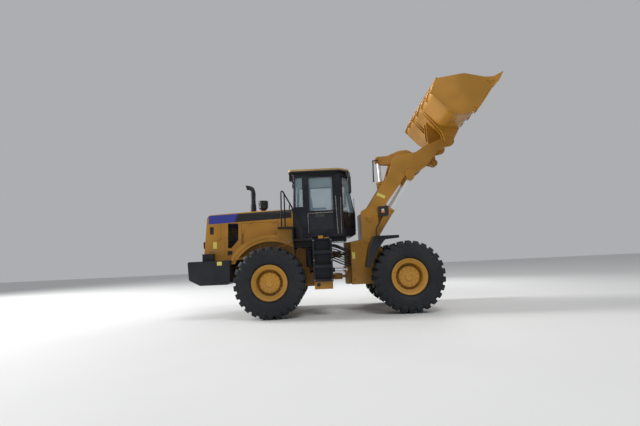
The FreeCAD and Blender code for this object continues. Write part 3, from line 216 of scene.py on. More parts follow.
def turned_form(profile, origin, axis=1, direction=1, sides=48, closed=False):
    """Turned body: profile rows (distance along the axis, radius) swung round the axis."""
    profile = np.asarray(profile, float)
    turn = np.arange(sides) * 2 * math.pi / sides
    grid = np.zeros((len(profile), sides, 3))
    u, v = (axis + 1) % 3, (axis + 2) % 3
    grid[..., axis] = direction * profile[:, 0, None]
    grid[..., u] = profile[:, 1, None] * np.cos(turn)
    grid[..., v] = profile[:, 1, None] * np.sin(turn) * direction
    points, faces = surface(grid + np.asarray(origin, float), closed, True, caps=not closed)
    return points, [f[:, ::-1] for f in faces]


def plate_form(outline, thickness_low, thickness_high, axis=1):
    """Flat plate cut to an outline of points across the axis, between two planes."""
    outline = np.asarray(outline, float)
    u, v = [k for k in range(3) if k != axis]
    grid = np.zeros((2, len(outline), 3))
    grid[..., u], grid[..., v] = outline[:, 0], outline[:, 1]
    grid[0, :, axis], grid[1, :, axis] = thickness_low, thickness_high
    points, faces = surface(grid, close_columns=True, caps=True)
    area = np.sum(outline[:, 0] * np.roll(outline[:, 1], -1) - np.roll(outline[:, 0], -1) * outline[:, 1])
    facing = area * (1 if axis != 1 else -1) * (thickness_high - thickness_low)
    return points, [f[:, ::-1] if facing < 0 else f for f in faces]


# %% [markdown]
# A finish is a small sum: base colour, plus dust where dust would settle, plus a lighter line on
# every edge, partly wear where hands and stones touch and partly a painted highlight. Written as
# Python on sockets it reads like the sum it is, and the class below adds one Math node for each
# sign. Any other node comes from one method, which sets the node up first and then links what goes in.

# %% Shader sums


class Socket:
    """The outlet of a shader node; sums, products and comparisons of sockets add Math nodes."""

    def __init__(self, tree, outlet):
        self.tree = tree
        self.outlet = outlet

    def math(self, operation, *values):
        node = self.tree.nodes.new("ShaderNodeMath")
        node.operation = operation
        for inlet, value in zip(node.inputs, (self,) + values):
            connect(self.tree, inlet, value)
        return Socket(self.tree, node.outputs[0])

    def __add__(self, other):
        return self.math("ADD", other)

    def __mul__(self, other):
        return self.math("MULTIPLY", other)

    def __sub__(self, other):
        return self.math("SUBTRACT", other)

    def __gt__(self, other):
        return self.math("GREATER_THAN", other)

    def __lt__(self, other):
        return self.math("LESS_THAN", other)

    def size(self):
        return self.math("ABSOLUTE")

    def repeat(self, length):
        return self.math("FLOORED_MODULO", length)


def connect(tree, inlet, value):
    """Links a socket to an inlet, or sets the inlet's own value."""
    if isinstance(value, Socket):
        tree.links.new(value.outlet, inlet)
    elif isinstance(value, (tuple, list)) and inlet.type == "RGBA" and len(value) == 3:
        inlet.default_value = (*value, 1.0)
    else:
        inlet.default_value = value


class Finish:
    """A new material with one principled shader, and the few nodes that its recipes use."""

    def __init__(self, name, **shader):
        self.material = bpy.data.materials.new(name)
        self.material.use_nodes = True
        self.tree = self.material.node_tree
        self.tree.nodes.clear()
        self.shader = self.tree.nodes.new("ShaderNodeBsdfPrincipled")
        output = self.tree.nodes.new("ShaderNodeOutputMaterial")
        self.tree.links.new(self.shader.outputs[0], output.inputs["Surface"])
        self.set(**shader)

    def set(self, **values):
        for name, value in values.items():
            connect(self.tree, self.shader.inputs[name.replace("_", " ")], value)

    def node(self, kind, outlet=0, settings=None, **values):
        """Any node: its type, its settings, then the values or links of its sockets."""
        node = self.tree.nodes.new("ShaderNode" + kind)
        for key, value in (settings or {}).items():
            setattr(node, key, value)
        for key, value in values.items():
            inlet = node.inputs[int(key[1:])] if key[1:].isdigit() else node.inputs[key.replace("_", " ")]
            connect(self.tree, inlet, value)
        return Socket(self.tree, node.outputs[outlet])

    def place(self):
        """Object coordinates as three sockets, measured from the hitch axis."""
        place = self.node("TexCoord", "Object")
        split = self.tree.nodes.new("ShaderNodeSeparateXYZ")
        connect(self.tree, split.inputs[0], place)
        x, y, z = (Socket(self.tree, outlet) for outlet in split.outputs)
        return x - hitch_x, y, z

    def noise(self, scale, detail=3.0, roughness=0.55):
        place = self.node("TexCoord", "Object")
        return self.node("TexNoise", "Fac", Vector=place, Scale=scale, Detail=detail,
                         Roughness=roughness)

    def step(self, value, start, end):
        """0 below start, 1 above end, with a smooth rise between; start may be the larger."""
        low, high, out = (start, end, (0.0, 1.0)) if start < end else (end, start, (1.0, 0.0))
        return self.node("MapRange", settings={"interpolation_type": "SMOOTHSTEP"}, Value=value,
                         _1=low, _2=high, _3=out[0], _4=out[1])

    def mix(self, factor, first, second):
        return self.node("Mix", 2, settings={"data_type": "RGBA"}, _0=factor, _6=first, _7=second)

    def upward(self):
        """1 on faces that look up, 0 on walls."""
        normal = self.node("NewGeometry", "Normal")
        split = self.tree.nodes.new("ShaderNodeSeparateXYZ")
        connect(self.tree, split.inputs[0], normal)
        return self.step(Socket(self.tree, split.outputs[2]), 0.55, 0.95)

    def edges(self, radius):
        """1 on edges, 0 on flats: how far a rounded normal leans away from the face's own."""
        rounded = self.node("Bevel", settings={"samples": 4}, Radius=radius)
        own = self.node("NewGeometry", "True Normal")
        lean = self.node("VectorMath", "Value", settings={"operation": "DOT_PRODUCT"}, _0=rounded,
                         _1=own)
        return self.step(lean, 0.985, 0.86), rounded


# %% [markdown]
# Machine paint is a thick, slightly rippled gloss. In use it gathers pale dust low down and on every
# ledge, fades a little in patches, and wears lighter along its edges, where a painted highlight lies
# too. The same recipe makes the yellow, the navy-black and the charcoal, with other colours and amounts.

# %% Painted metal

dust_colour = (0.36, 0.30, 0.215)
rear_yellow = (0.405, 0.185, 0.011)


def painted(name, colour, roughness=0.42, dust=1.0, edge=0.35, coat=0.12, edge_radius=0.006,
            markings=None, shine=0.4):
    """Paint, faded in patches, then edge wear with a painted highlight on every edge, then dust low down and on
    ledges.
    """
    finish = Finish(name, Roughness=roughness, Coat_Weight=coat, Coat_Roughness=0.12,
                    Specular_IOR_Level=shine)
    _, _, z = finish.place()
    patches = finish.noise(0.9, 2.0)
    fine = finish.noise(34.0, 4.0)
    worn_and_highlit_edges, rounded = finish.edges(edge_radius)
    low_down = finish.step(z, 1.5, 0.2)
    settled = finish.upward() * 0.30 + low_down * 0.16
    dusty = settled * finish.step(finish.noise(5.5, 5.0, 0.62) * 0.6 + fine * 0.4, 0.34, 0.68) * dust
    deeper = tuple(c * 0.80 for c in colour)
    paler = tuple(min(1.0, c * 1.10 + 0.012) for c in colour)
    paint = finish.mix(finish.step(patches, 0.35, 0.65), deeper, paler)
    if markings is not None:
        paint = markings(finish, paint)
    # lighter edges: partly wear, partly a painted highlight
    bright = tuple(min(1.0, c * 1.35 + 0.03) for c in colour)
    paint = finish.mix(worn_and_highlit_edges * edge * finish.step(fine, 0.35, 0.6), paint, bright)
    finish.set(Base_Color=finish.mix(dusty, paint, dust_colour),
               Roughness=dusty * 0.4 + (fine * 0.14 + (roughness - 0.07)))
    ripple = finish.node("Bump", Strength=0.05, Distance=0.002, Height=finish.noise(85.0, 2.0),
                         Normal=rounded)
    finish.set(Normal=ripple)
    return finish.material


# %% [markdown]
# The hood carries a band along its upper edge: blue at the back, then black, cut at a slant. It could
# be a decal laid on the sheet. Here the paint itself changes where a point lies between two sloping
# lines, so the band follows the hood round its corner with no second surface.

# %% The hood's band

band_top_offset = 0.016
band_depth = 0.200
hood_rise = (2.500 - 2.430) / (3.05 - 1.01)
blue = (0.030, 0.042, 0.285)
band_black = (0.012, 0.012, 0.014)


def hood_band(finish, paint):
    x, y, z = finish.place()
    top = (x + 1.01) * hood_rise + 2.500
    below = top - z
    inside = (below > band_top_offset) * (below < band_top_offset + band_depth)
    inside = inside * (y.size() > 0.60) * (x > -3.02) * (x < -1.045)
    slant = x + below * 0.35
    band = finish.mix(slant > -2.32, blue, band_black)
    return finish.mix(inside, paint, band)


yellow_paint = painted("yellow_paint", rear_yellow)
hood_paint = painted("hood_paint", rear_yellow, dust=0.7, markings=hood_band)
rim_paint = painted("rim_paint", (0.47, 0.225, 0.014), roughness=0.5, dust=1.25, coat=0.0)
nut_paint = painted("nut_paint", (0.30, 0.15, 0.022), roughness=0.55, dust=1.0, coat=0.0, edge_radius=0.002)
navy_paint = painted("navy_paint", (0.007, 0.009, 0.017), roughness=0.38, dust=0.30, edge=0.12,
                     coat=0.08, shine=0.3)
black_paint = painted("black_paint", (0.006, 0.006, 0.008), roughness=0.42, dust=0.35, edge=0.12, coat=0.08,
                      shine=0.3)
charcoal_cast = painted("charcoal_cast", (0.016, 0.018, 0.025), roughness=0.55, dust=0.30, edge=0.18,
                        coat=0.03, edge_radius=0.012, shine=0.3)


def painted_roof_underside_shade(finish, paint):
    """Painted shade: the roof's lower half is near black, up to the height where its shell laps over."""
    _, _, z = finish.place()
    return finish.mix(z < 3.378, paint, (0.010, 0.010, 0.012))


roof_paint = painted("roof_paint", (0.46, 0.29, 0.10), roughness=0.45, dust=1.0, markings=painted_roof_underside_shade)
grey_cast = painted("grey_cast", (0.10, 0.10, 0.105), roughness=0.6, dust=0.8, coat=0.0)
print("painted finishes:", len(bpy.data.materials))

# %% [markdown]
# The rest of the finishes are short. Chrome on a rod is paler in broad patches, pins are bare steel,
# the panes are pale blue with painted shade along their lower part, and the tyres are dull rubber.

# %% Chrome, steel, glass, rubber and lamps


def chrome_finish():
    finish = Finish("rod_chrome", Metallic=0.8, Roughness=0.3)
    worn = finish.noise(3.0, 3.0)
    finish.set(Base_Color=finish.mix(worn, (0.78, 0.79, 0.81), (0.90, 0.90, 0.91)),
               Roughness=finish.noise(40.0, 3.0) * 0.08 + 0.28)
    return finish.material


def steel_finish():
    finish = Finish("pin_steel", Metallic=0.85, Roughness=0.42)
    spots = finish.step(finish.noise(22.0, 5.0), 0.42, 0.66)
    finish.set(Base_Color=finish.mix(spots, (0.22, 0.20, 0.18), (0.42, 0.40, 0.38)),
               Roughness=spots * -0.12 + 0.5)
    return finish.material


def glass_finish(name, colour, alpha):
    finish = Finish(name, Roughness=0.03, Coat_Weight=0.6, IOR=1.5)
    smear = finish.step(finish.noise(2.5, 5.0, 0.6), 0.35, 0.75)
    _, _, z = finish.place()
    # painted shade: below z 2.380 the pane turns dark and less clear, for the shaded inside of the cab
    painted_lower_shade = z < 2.380
    pale = finish.mix(smear * 0.35, colour, (0.42, 0.50, 0.52))
    finish.set(Base_Color=finish.mix(painted_lower_shade, pale, (0.012, 0.014, 0.018)),
               Alpha=smear * 0.06 + (painted_lower_shade * 0.45 + alpha), Roughness=smear * 0.05 + 0.02)
    finish.material.surface_render_method = "BLENDED"
    return finish.material


def rubber_finish():
    finish = Finish("tyre_rubber", Roughness=0.75, Specular_IOR_Level=0.35)
    broad = finish.noise(2.2, 4.0, 0.6)
    grit = finish.noise(60.0, 5.0, 0.7)
    _, _, z = finish.place()
    dusty = finish.step(broad * 0.55 + grit * 0.45, 0.42, 0.66) * 0.10 + finish.edges(0.008)[0] * 0.22
    finish.set(Base_Color=finish.mix(dusty, (0.012, 0.014, 0.018), (0.16, 0.16, 0.15)),
               Roughness=dusty * 0.2 + 0.68)
    finish.set(Normal=finish.node("Bump", Strength=0.25, Distance=0.002, Height=grit))
    return finish.material


def plastic_finish(name, colour, roughness):
    finish = Finish(name, Roughness=roughness)
    grain = finish.noise(420.0, 2.0)
    finish.set(Base_Color=finish.mix(finish.noise(6.0), colour, tuple(c * 1.3 + 0.004 for c in colour)))
    finish.set(Normal=finish.node("Bump", Strength=0.12, Distance=0.0006, Height=grain))
    return finish.material


def lens_finish(name, colour):
    """Moulded lens: narrow upright flutes under a glossy face."""
    finish = Finish(name, Roughness=0.08, Coat_Weight=0.8)
    _, y, _ = finish.place()
    flute = (y.repeat(0.012) - 0.006).size() * 80.0
    finish.set(Base_Color=finish.mix(flute * 0.5, colour, tuple(c * 0.55 for c in colour)))
    finish.set(Normal=finish.node("Bump", Strength=0.5, Distance=0.002, Height=flute))
    return finish.material


rod_chrome = chrome_finish()
pin_steel = steel_finish()
pane_glass = glass_finish("pane_glass", (0.34, 0.50, 0.58), 0.22)
tyre_rubber = rubber_finish()
hose_rubber = plastic_finish("hose_rubber", (0.014, 0.014, 0.015), 0.5)
lamp_plastic = plastic_finish("lamp_plastic", (0.012, 0.012, 0.013), 0.35)
seat_leather = plastic_finish("seat_leather", (0.020, 0.020, 0.022), 0.55)
clear_lens = lens_finish("clear_lens", (0.72, 0.74, 0.76))
amber_lens = lens_finish("amber_lens", (0.90, 0.25, 0.02))
red_lens = lens_finish("red_lens", (0.55, 0.02, 0.015))

# %% [markdown]
# Each piece of the frame now gets its finish. One table says which, so that a change of mind is one
# word. A piece of the frame is never reshaped: only its material changes.

# %% Finishes for the frame's pieces

finish_of_slot = {
    "yellow": yellow_paint, "charcoal": charcoal_cast, "navy": navy_paint, "black": black_paint,
    "rim_yellow": rim_paint, "tyre": tyre_rubber, "chrome": rod_chrome, "steel": pin_steel,
    "glass": pane_glass, "cast": grey_cast, "roof_tan": roof_paint, "seat_cloth": seat_leather,
    "lamp": lamp_plastic, "rubber": hose_rubber,
}
finish_of_node = {
    "hood": hood_paint, "engine_door_left": hood_paint, "engine_door_right": hood_paint,
    # black on the steering barrels is painted shade: the hitch round them lies in shade
    "steer_barrel_left": black_paint, "steer_barrel_right": black_paint, "bucket_pins": yellow_paint,
    "bellcrank_pin": yellow_paint, "link_pin": yellow_paint,
}

for subpart in frame["record"]["subparts"]:
    node = frame["nodes"][subpart["node"]]
    material = finish_of_node.get(subpart["node"], finish_of_slot[subpart["material_slot"]])
    node.data.materials.clear()
    node.data.materials.append(material)

# %% [markdown]
# A loader's tyre has deep lugs that run out from the middle and over each shoulder, left and right
# half a pitch apart. They could be cut into a solid tyre, which makes a heavy mesh. It is lighter to
# turn a smooth carcass and lay the lugs on it, each one a small profile carried from the middle over
# the shoulder. They stand where the frame's own lugs stand, with the round edges of moulded rubber.

# %% Tyres with lugs

tyre_radius = 0.800
lug_pairs = 26

# distance from the tyre's middle plane and radius, from the bead over the sidewall to the crown
carcass_half = [
    (0.2257, 0.3200), (0.2257, 0.4080), (0.2330, 0.4190), (0.2480, 0.4290), (0.2640, 0.4420),
    (0.2760, 0.4600),
    (0.2850, 0.4850), (0.2905, 0.5050), (0.2925, 0.5090), (0.2925, 0.5150), (0.2935, 0.5190),
    (0.2965, 0.5600), (0.2972, 0.6080), (0.2952, 0.6300), (0.2925, 0.6360), (0.2900, 0.6420),
    (0.2850, 0.6680), (0.2740, 0.6980), (0.2560, 0.7260), (0.2330, 0.7420), (0.2000, 0.7500),
    (0.1000, 0.7550), (0.0, 0.7560),
]

# stations along a lug: distance out, radius at its foot, lean in degrees, height, half width, shift
lug_stations = np.array([
    (0.0130, 0.7510, 0, 0.0380, 0.032, -0.0140), (0.0200, 0.7510, 0, 0.0465, 0.036, -0.0138),
    (0.0320, 0.7510, 0, 0.0488, 0.039, -0.0130), (0.1000, 0.7505, 0, 0.0494, 0.046, -0.0085),
    (0.1800, 0.7490, 2, 0.0509, 0.055, -0.0025), (0.2200, 0.7440, 10, 0.0560, 0.059, 0.0),
    (0.2330, 0.7380, 24, 0.0530, 0.060, 0.0), (0.2460, 0.7270, 46, 0.0430, 0.061, 0.0),
    (0.2590, 0.7120, 64, 0.0330, 0.061, 0.0), (0.2720, 0.6900, 76, 0.0240, 0.060, 0.0),
    (0.2830, 0.6640, 84, 0.0140, 0.058, 0.0), (0.2880, 0.6450, 88, 0.0050, 0.056, 0.0),
])
# across a lug: share of the half width, share of the height
lug_section = np.array([(-1.20, 0.0), (-1.05, 0.62), (-0.99, 0.90), (-0.90, 0.985), (-0.78, 1.0), (0.78, 1.0),
                        (0.90, 0.985), (0.99, 0.90), (1.05, 0.62), (1.20, 0.0)])


def tyre_form(centre):
    """Carcass turned about the axle, and lugs whose section runs from the middle over the shoulder."""
    half = np.array(carcass_half)
    profile = np.concatenate([half, (half * (-1, 1))[-2::-1]])
    carcass = turned_form(profile, centre, axis=1, direction=-1, sides=156, closed=True)
    out, foot, lean, height, width, shift = lug_stations.T
    lean = np.radians(lean)
    rise = height[:, None] * lug_section[None, :, 1]
    y = out[:, None] + np.sin(lean)[:, None] * rise
    r = foot[:, None] + np.cos(lean)[:, None] * rise
    turn = (shift[:, None] + width[:, None] * lug_section[None, :, 0]) / tyre_radius
    pitch = 2 * math.pi / lug_pairs
    lugs = []
    for way, start in ((-1, 0.0), (1, 0.5)):
        angle = (np.arange(lug_pairs) + start)[:, None, None] * pitch + turn
        grid = np.stack([
            centre[0] + r * np.sin(angle),
            np.broadcast_to(centre[1] + way * y, angle.shape),
            centre[2] - r * np.cos(angle),
        ], -1)
        one, faces = surface(grid[0], caps=True)
        steps = np.arange(lug_pairs)[:, None, None] * len(one)
        faces = [(f[None] + steps).reshape(-1, f.shape[1]) for f in faces]
        lugs.append((grid.reshape(-1, 3), faces if way > 0 else [f[:, ::-1] for f in faces]))
    return joined([carcass] + lugs)


wheel_names = ("rear_right", "rear_left", "front_right", "front_left")
wheel_centres = {}
for name in wheel_names:
    low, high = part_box("tyre_" + name)
    middle = (low + high) / 2
    wheel_centres[name] = np.array([middle.x - hitch_x, middle.y, tyre_radius])
    tyre = piece("tread_" + name, tyre_form(wheel_centres[name]), "wheel_" + name,
                 tyre_rubber, sharp_angle=32)
    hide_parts("tyre_" + name)
print("tyre triangles:", made_triangles["tread_front_left"])

# %% [markdown]
# Inside the rim, twenty nuts hold the wheel to the hub, a ring of bolts holds the final drive's
# cover, and an oil plug sits off its middle. Each nut could be a cylinder with six sides. Here a nut
# is a turned profile with six sides, a chamfer and its stud, computed once and copied round.

# %% Wheel nuts, cover bolts, plug and valve


def bolt_form(origin, axis, direction, across_flats, height, stud=0.0):
    """Hexagon head: a six-sided turned profile with a chamfered top, and a round stud end on it."""
    r = across_flats / math.sqrt(3)
    head = turned_form([(0.0, r), (height * 0.82, r), (height, r * 0.86)], origin, axis, direction, sides=6)
    if stud == 0.0:
        washer = turned_form([(0.0, r * 1.28), (height * 0.16, r * 1.28), (height * 0.22, r * 1.22)], origin,
                             axis, direction, sides=14)
        return joined([head, washer])
    end = turned_form([(0.0, r * 0.50), (height + stud, r * 0.50), (height + stud + 0.002, r * 0.40)],
                      origin, axis, direction, sides=12)
    return joined([head, end])


def ring_of(form, centre, count, radius, start=0.0):
    """Copies of a form made at the centre, moved out to equal places round a circle in x and z."""
    angle = start + np.arange(count) * 2 * math.pi / count
    moves = np.stack([radius * np.cos(angle), 0 * angle, radius * np.sin(angle)], 1)
    return repeated(form, moves)


disc_face, cover_face, flange_face = 0.060, 0.165, 0.244
for name, centre in wheel_centres.items():
    out = 1 if centre[1] > 0 else -1
    at_disc, at_cover = centre + (0, out * disc_face, 0), centre + (0, out * cover_face, 0)
    nuts = ring_of(bolt_form(at_disc, 1, out, 0.027, 0.022, 0.010), at_disc, 20, 0.254)
    bolts = ring_of(bolt_form(at_cover, 1, out, 0.019, 0.011), at_cover, 12, 0.196, 0.26)
    plug = bolt_form(centre + (0.048, out * (cover_face + 0.020), 0.022), 1, out, 0.024, 0.010)
    lock_ring = turned_form([(-0.012, 0.3815), (0.002, 0.3815), (0.006, 0.3850), (0.006, 0.3950),
                             (0.002, 0.3990), (-0.012, 0.3990)], centre + (0, out * flange_face, 0), 1, out, sides=96,
                            closed=True)
    groove = turned_form([(0.0, 0.150), (0.005, 0.152), (0.006, 0.158), (0.005, 0.164), (0.0, 0.166)],
                         at_cover, 1, out, sides=64, closed=True)
    piece("rim_trim_" + name, joined([lock_ring, groove]), "wheel_" + name, rim_paint)
    piece("wheel_nuts_" + name, joined([nuts, bolts, plug]), "wheel_" + name, nut_paint)
    stem = centre + np.array([(0.0, 0.190, -0.318), (0.0, 0.205, -0.330), (0.0, 0.222, -0.338)]) * (1, out, 1)
    piece("valve_" + name, tube_form(stem, [0.006, 0.006, 0.008], 10), "wheel_" + name, pin_steel)
print("wheels done, triangles in one ring of nuts:", made_triangles["wheel_nuts_front_left"])


# %% [markdown]
# The hood's side is a sheet with small things on it: a locking recess at the back, a raised bar over
# a hinge, a pull handle, and the seam of a service panel. They could be drawn into the paint. Set on
# as thin pieces they catch light along their edges, as pressed sheet does, and move with their panel.

# %% Small things on the hood, fenders and counterweight

hood_side, fender_side, weight_side = -0.750, -1.010, -1.200


def on_side(x0, x1, z0, z1, plane, out, rounding=0.004):
    """Bar on the right side, x0 to x1 and z0 to z1, that stands out from the plane y = plane."""
    return box_form((x0, plane - out, z0), (x1, plane + 0.003, z1), rounding, axis=1)


def frame_on_side(x0, x1, z0, z1, plane, out, width):
    """Four bars round a rectangle, as a bezel or a gasket is."""
    return joined([
        on_side(x0 - width, x1 + width, z0 - width, z0, plane, out),
        on_side(x0 - width, x1 + width, z1, z1 + width, plane, out),
        on_side(x0 - width, x0, z0, z1, plane, out),
        on_side(x1, x1 + width, z0, z1, plane, out),
    ])


hinge_bar = on_side(-2.797, -2.735, 1.832, 2.206, hood_side, 0.022, 0.014)
recess_bezel = frame_on_side(-2.992, -2.903, 1.972, 2.147, hood_side, 0.008, 0.010)
lower_bezel = frame_on_side(-2.582, -2.470, 1.470, 1.562, hood_side, 0.008, 0.008)
panel_rib = on_side(-2.655, -2.645, 1.440, 2.209, hood_side, 0.005, 0.002)
piece("hood_trim", both_sides(joined([hinge_bar, recess_bezel, lower_bezel, panel_rib])), "rear_body",
      hood_paint)
# painted shade: the locking recess and the lower recess are dark only through shade, so thin black plates stand in
# them
recess_shade_plate = on_side(-2.990, -2.905, 1.974, 2.145, hood_side, 0.003, 0.002)
lower_recess_shade_plate = on_side(-2.580, -2.472, 1.472, 1.560, hood_side, 0.003, 0.002)
battery_box = box_form((-3.125, -0.960, 1.338), (-2.870, -0.775, 1.508), 0.012)
battery_lid = box_form((-3.132, -0.967, 1.490), (-2.863, -0.768, 1.506), 0.005)
piece("hood_recess_shades_and_battery_box", both_sides(joined([recess_shade_plate, lower_recess_shade_plate, battery_box, battery_lid])), "rear_body",
      black_paint)

for side, way in (("right", 1), ("left", -1)):
    grip = smooth_path([(-2.204, -0.768, 1.730), (-2.204, -0.806, 1.745), (-2.204, -0.812, 1.835),
                        (-2.204, -0.806, 1.925), (-2.204, -0.768, 1.940)], 5)
    pull = tube_form(grip * (1, way, 1), 0.0085, 10)
    latch = turned_form([(0, 0.020), (0.006, 0.020), (0.009, 0.016), (0.009, 0.0)],
                        (-1.480, -0.779 * way, 1.760), 1, -way, sides=20)
    piece("engine_door_pull_" + side, joined([pull, latch]), "engine_door_" + side + "_body",
          black_paint)

pale_bolts = [(-1.203, 1.705), (-1.099, 1.700)]
bolt_heads = [bolt_form((x, fender_side, z), 1, -1, 0.030, 0.014) for x, z in pale_bolts]
catches = [bolt_form((x, hood_side, 1.560), 1, -1, 0.026, 0.016) for x in (-2.965, -2.905, -2.838)]
piece("hood_bolts", both_sides(joined(bolt_heads + catches)), "rear_body", pin_steel)

fender_seam = on_side(-1.303, -1.297, 1.660, 1.990, fender_side, 0.004, 0.0015)
skirt_bead = turned_form([(0.0, 1.002), (0.010, 1.002), (0.014, 1.008), (0.014, 1.020), (0.010, 1.026),
                          (0.0, 1.026)], (-1.550, fender_side, 0.800), 1, -1, sides=128, closed=True)
bead_points = skirt_bead[0]
angle_up = bead_points[:, 2].reshape(-1, 128)[0] > 1.300
keep_ring = np.flatnonzero(angle_up & (bead_points[:, 0].reshape(-1, 128)[0] < -1.020))
# the ring starts at its top, so a straight strip also joins the two ends of the arc that is kept
ring_rows = bead_points.reshape(-1, 128, 3)[:, np.sort(keep_ring)]
bead = surface(np.ascontiguousarray(ring_rows.transpose(1, 0, 2)), close_columns=True, caps=True)
piece("fender_trim", both_sides(joined([fender_seam, bead])), "rear_body", yellow_paint)

label_finish = plastic_finish("blank_label", (0.62, 0.55, 0.11), 0.5)
blank_labels = joined([
    on_side(-2.923, -2.836, 1.629, 1.787, hood_side, 0.0025, 0.001),
    on_side(-2.725, -2.614, 1.235, 1.318, weight_side, 0.0035, 0.0015),
])
piece("rear_labels", both_sides(blank_labels), "rear_body", label_finish)
print("hood trim triangles:", made_triangles["hood_trim"])

# %% [markdown]
# Behind, two tail lamps stand beside the grille, and a radiator core shows between its slats. The
# core is a plain plate whose fins are made in the finish: fine upright lines, lighter than the gaps, whose near black
# is painted shade.

# %% Tail lamps and radiator core


def core_finish():
    finish = Finish("radiator_core", Metallic=0.4, Roughness=0.55)
    _, y, z = finish.place()
    fin = (y.repeat(0.012) - 0.006).size() * 166.0
    tube = (z.repeat(0.030) - 0.015).size() * 66.0
    # painted shade: the gaps between fins and tubes are near black
    finish.set(Base_Color=finish.mix(fin * tube, (0.010, 0.010, 0.011), (0.10, 0.10, 0.10)))
    return finish.material


piece("radiator_core", box_form((-2.790, -0.520, 1.560), (-2.765, 0.520, 2.230), 0.004), "rear_body",
      core_finish())


def rear_sheet_x(z):
    """Place of the hood's slanted back at height z."""
    return -3.150 + 0.100 * (z - 1.340) / 1.090


lamp_z = (1.640, 1.800)
lamp_x = rear_sheet_x(lamp_z[1])
housing = box_form((lamp_x - 0.052, -0.722, lamp_z[0]), (lamp_x + 0.010, -0.590, lamp_z[1]), 0.010, axis=0)
piece("tail_lamp_housings", both_sides(housing), "rear_body", lamp_plastic)
red_part = box_form((lamp_x - 0.058, -0.712, lamp_z[0] + 0.062), (lamp_x - 0.046, -0.600, lamp_z[1] - 0.010),
                    0.005, axis=0)
amber_part = box_form((lamp_x - 0.058, -0.712, lamp_z[0] + 0.010), (lamp_x - 0.046, -0.600, lamp_z[0] + 0.056),
                      0.005, axis=0)
piece("tail_lens_red", both_sides(red_part), "rear_body", red_lens)
piece("tail_lens_amber", both_sides(amber_part), "rear_body", amber_lens)

# %% [markdown]
# Two things stand out of the hood: the exhaust, a fat pipe with two clamps that bends back at its top
# and is cut open there, and the air cleaner's bowl, ribbed and with a rounded lid.

# %% Exhaust end and air cleaner's bowl

pipe = smooth_path([(-2.030, -0.200, 2.700), (-2.030, -0.200, 2.900), (-2.030, -0.200, 3.030),
                    (-2.052, -0.200, 3.105), (-2.112, -0.200, 3.142), (-2.195, -0.200, 3.158)], 8)
_, pipe_side, pipe_up = frames_along(pipe)
round_turn = np.arange(28) * 2 * math.pi / 28
ring = (pipe_side[:, None] * np.cos(round_turn)[None, :, None]
        + pipe_up[:, None] * np.sin(round_turn)[None, :, None])
outer_wall = pipe[:, None] + ring * 0.059
inner_wall = pipe[::-1][:12, None] + ring[::-1][:12] * 0.053
slant = np.linspace(0, 1, len(pipe))[:, None, None] ** 6 * 0.035
outer_wall = outer_wall + slant * ring[..., 2:3] * (-1, 0, 0)
inner_wall[0] = inner_wall[0] + 0.035 * ring[-1][:, 2:3] * (-1, 0, 0)
exhaust = surface(np.concatenate([outer_wall, inner_wall]), close_columns=True, caps=True)
clamps = [turned_form([(-0.014, 0.058), (-0.014, 0.065), (0.014, 0.065), (0.014, 0.058)], (-2.030, -0.200, z),
                      2, 1, sides=32, closed=True) for z in (2.715, 2.980)]
piece("exhaust_pipe", joined([exhaust] + clamps), "rear_body", black_paint)
bowl_at = (-1.761, -0.350, 2.500)
bowl_rows = [(0.088, 0.096), (0.090, 0.114), (0.100, 0.118), (0.108, 0.114), (0.205, 0.114), (0.210, 0.119),
             (0.228, 0.120), (0.236, 0.116), (0.240, 0.122), (0.262, 0.122), (0.272, 0.114), (0.277, 0.090),
             (0.279, 0.030)]
bowl = turned_form(bowl_rows, bowl_at, 2, 1, sides=48)
vane_turn = np.arange(24) * 2 * math.pi / 24
vane = box_form((-0.002, 0.110, 0.112), (0.002, 0.118, 0.202), 0.001)
vane_points, vane_faces = vane
turned_vanes = []
for angle in vane_turn:
    c, s = math.cos(angle), math.sin(angle)
    turned = vane_points @ np.array([(c, s, 0), (-s, c, 0), (0, 0, 1)]) + bowl_at
    turned_vanes.append((turned, vane_faces))
piece("precleaner_bowl", joined([bowl] + turned_vanes), "rear_body", black_paint)

# %% [markdown]
# Feet need grip, so the platforms carry a raised pattern and the steps a serrated lip. Hundreds of
# studs could weigh a mesh down. Each one here is a low flat-topped pyramid, copied in rows.

# %% Grip on platforms and steps


def stud_rows(x0, x1, y0, y1, z, pitch, size, height):
    """Low four-sided studs on a grid, every second row half a pitch on."""
    x = np.arange(x0, x1, pitch)
    y = np.arange(y0, y1, pitch)
    places = np.array([(a + (k % 2) * pitch / 2, b, z) for k, b in enumerate(y) for a in x])
    foot = np.array([(-1, 0), (0, -0.45), (1, 0), (0, 0.45)]) * size
    low = np.column_stack([foot, np.full(4, -0.001)])
    high = np.column_stack([foot * 0.6, np.full(4, height)])
    return repeated(surface(np.stack([low, high]), close_columns=True, caps=True), places)


deck_studs = [stud_rows(-1.310, -1.050, -1.195, -0.790, 2.035, 0.036, 0.013, 0.003),
              stud_rows(-0.960, -0.600, -1.165, -0.850, 1.740, 0.036, 0.013, 0.003)]
step_heights = [0.770 + k * (0.970 / 3) for k in range(3)]
lips = []
for low in step_heights:
    teeth = np.arange(-0.515, -0.180, 0.030)
    lips.append(repeated(box_form((0.0, -1.154, low + 0.036), (0.016, -1.110, low + 0.056), 0.002),
                         np.column_stack([teeth, 0 * teeth, 0 * teeth])))
piece("deck_grip", both_sides(joined(deck_studs + lips)), "rear_body", black_paint)

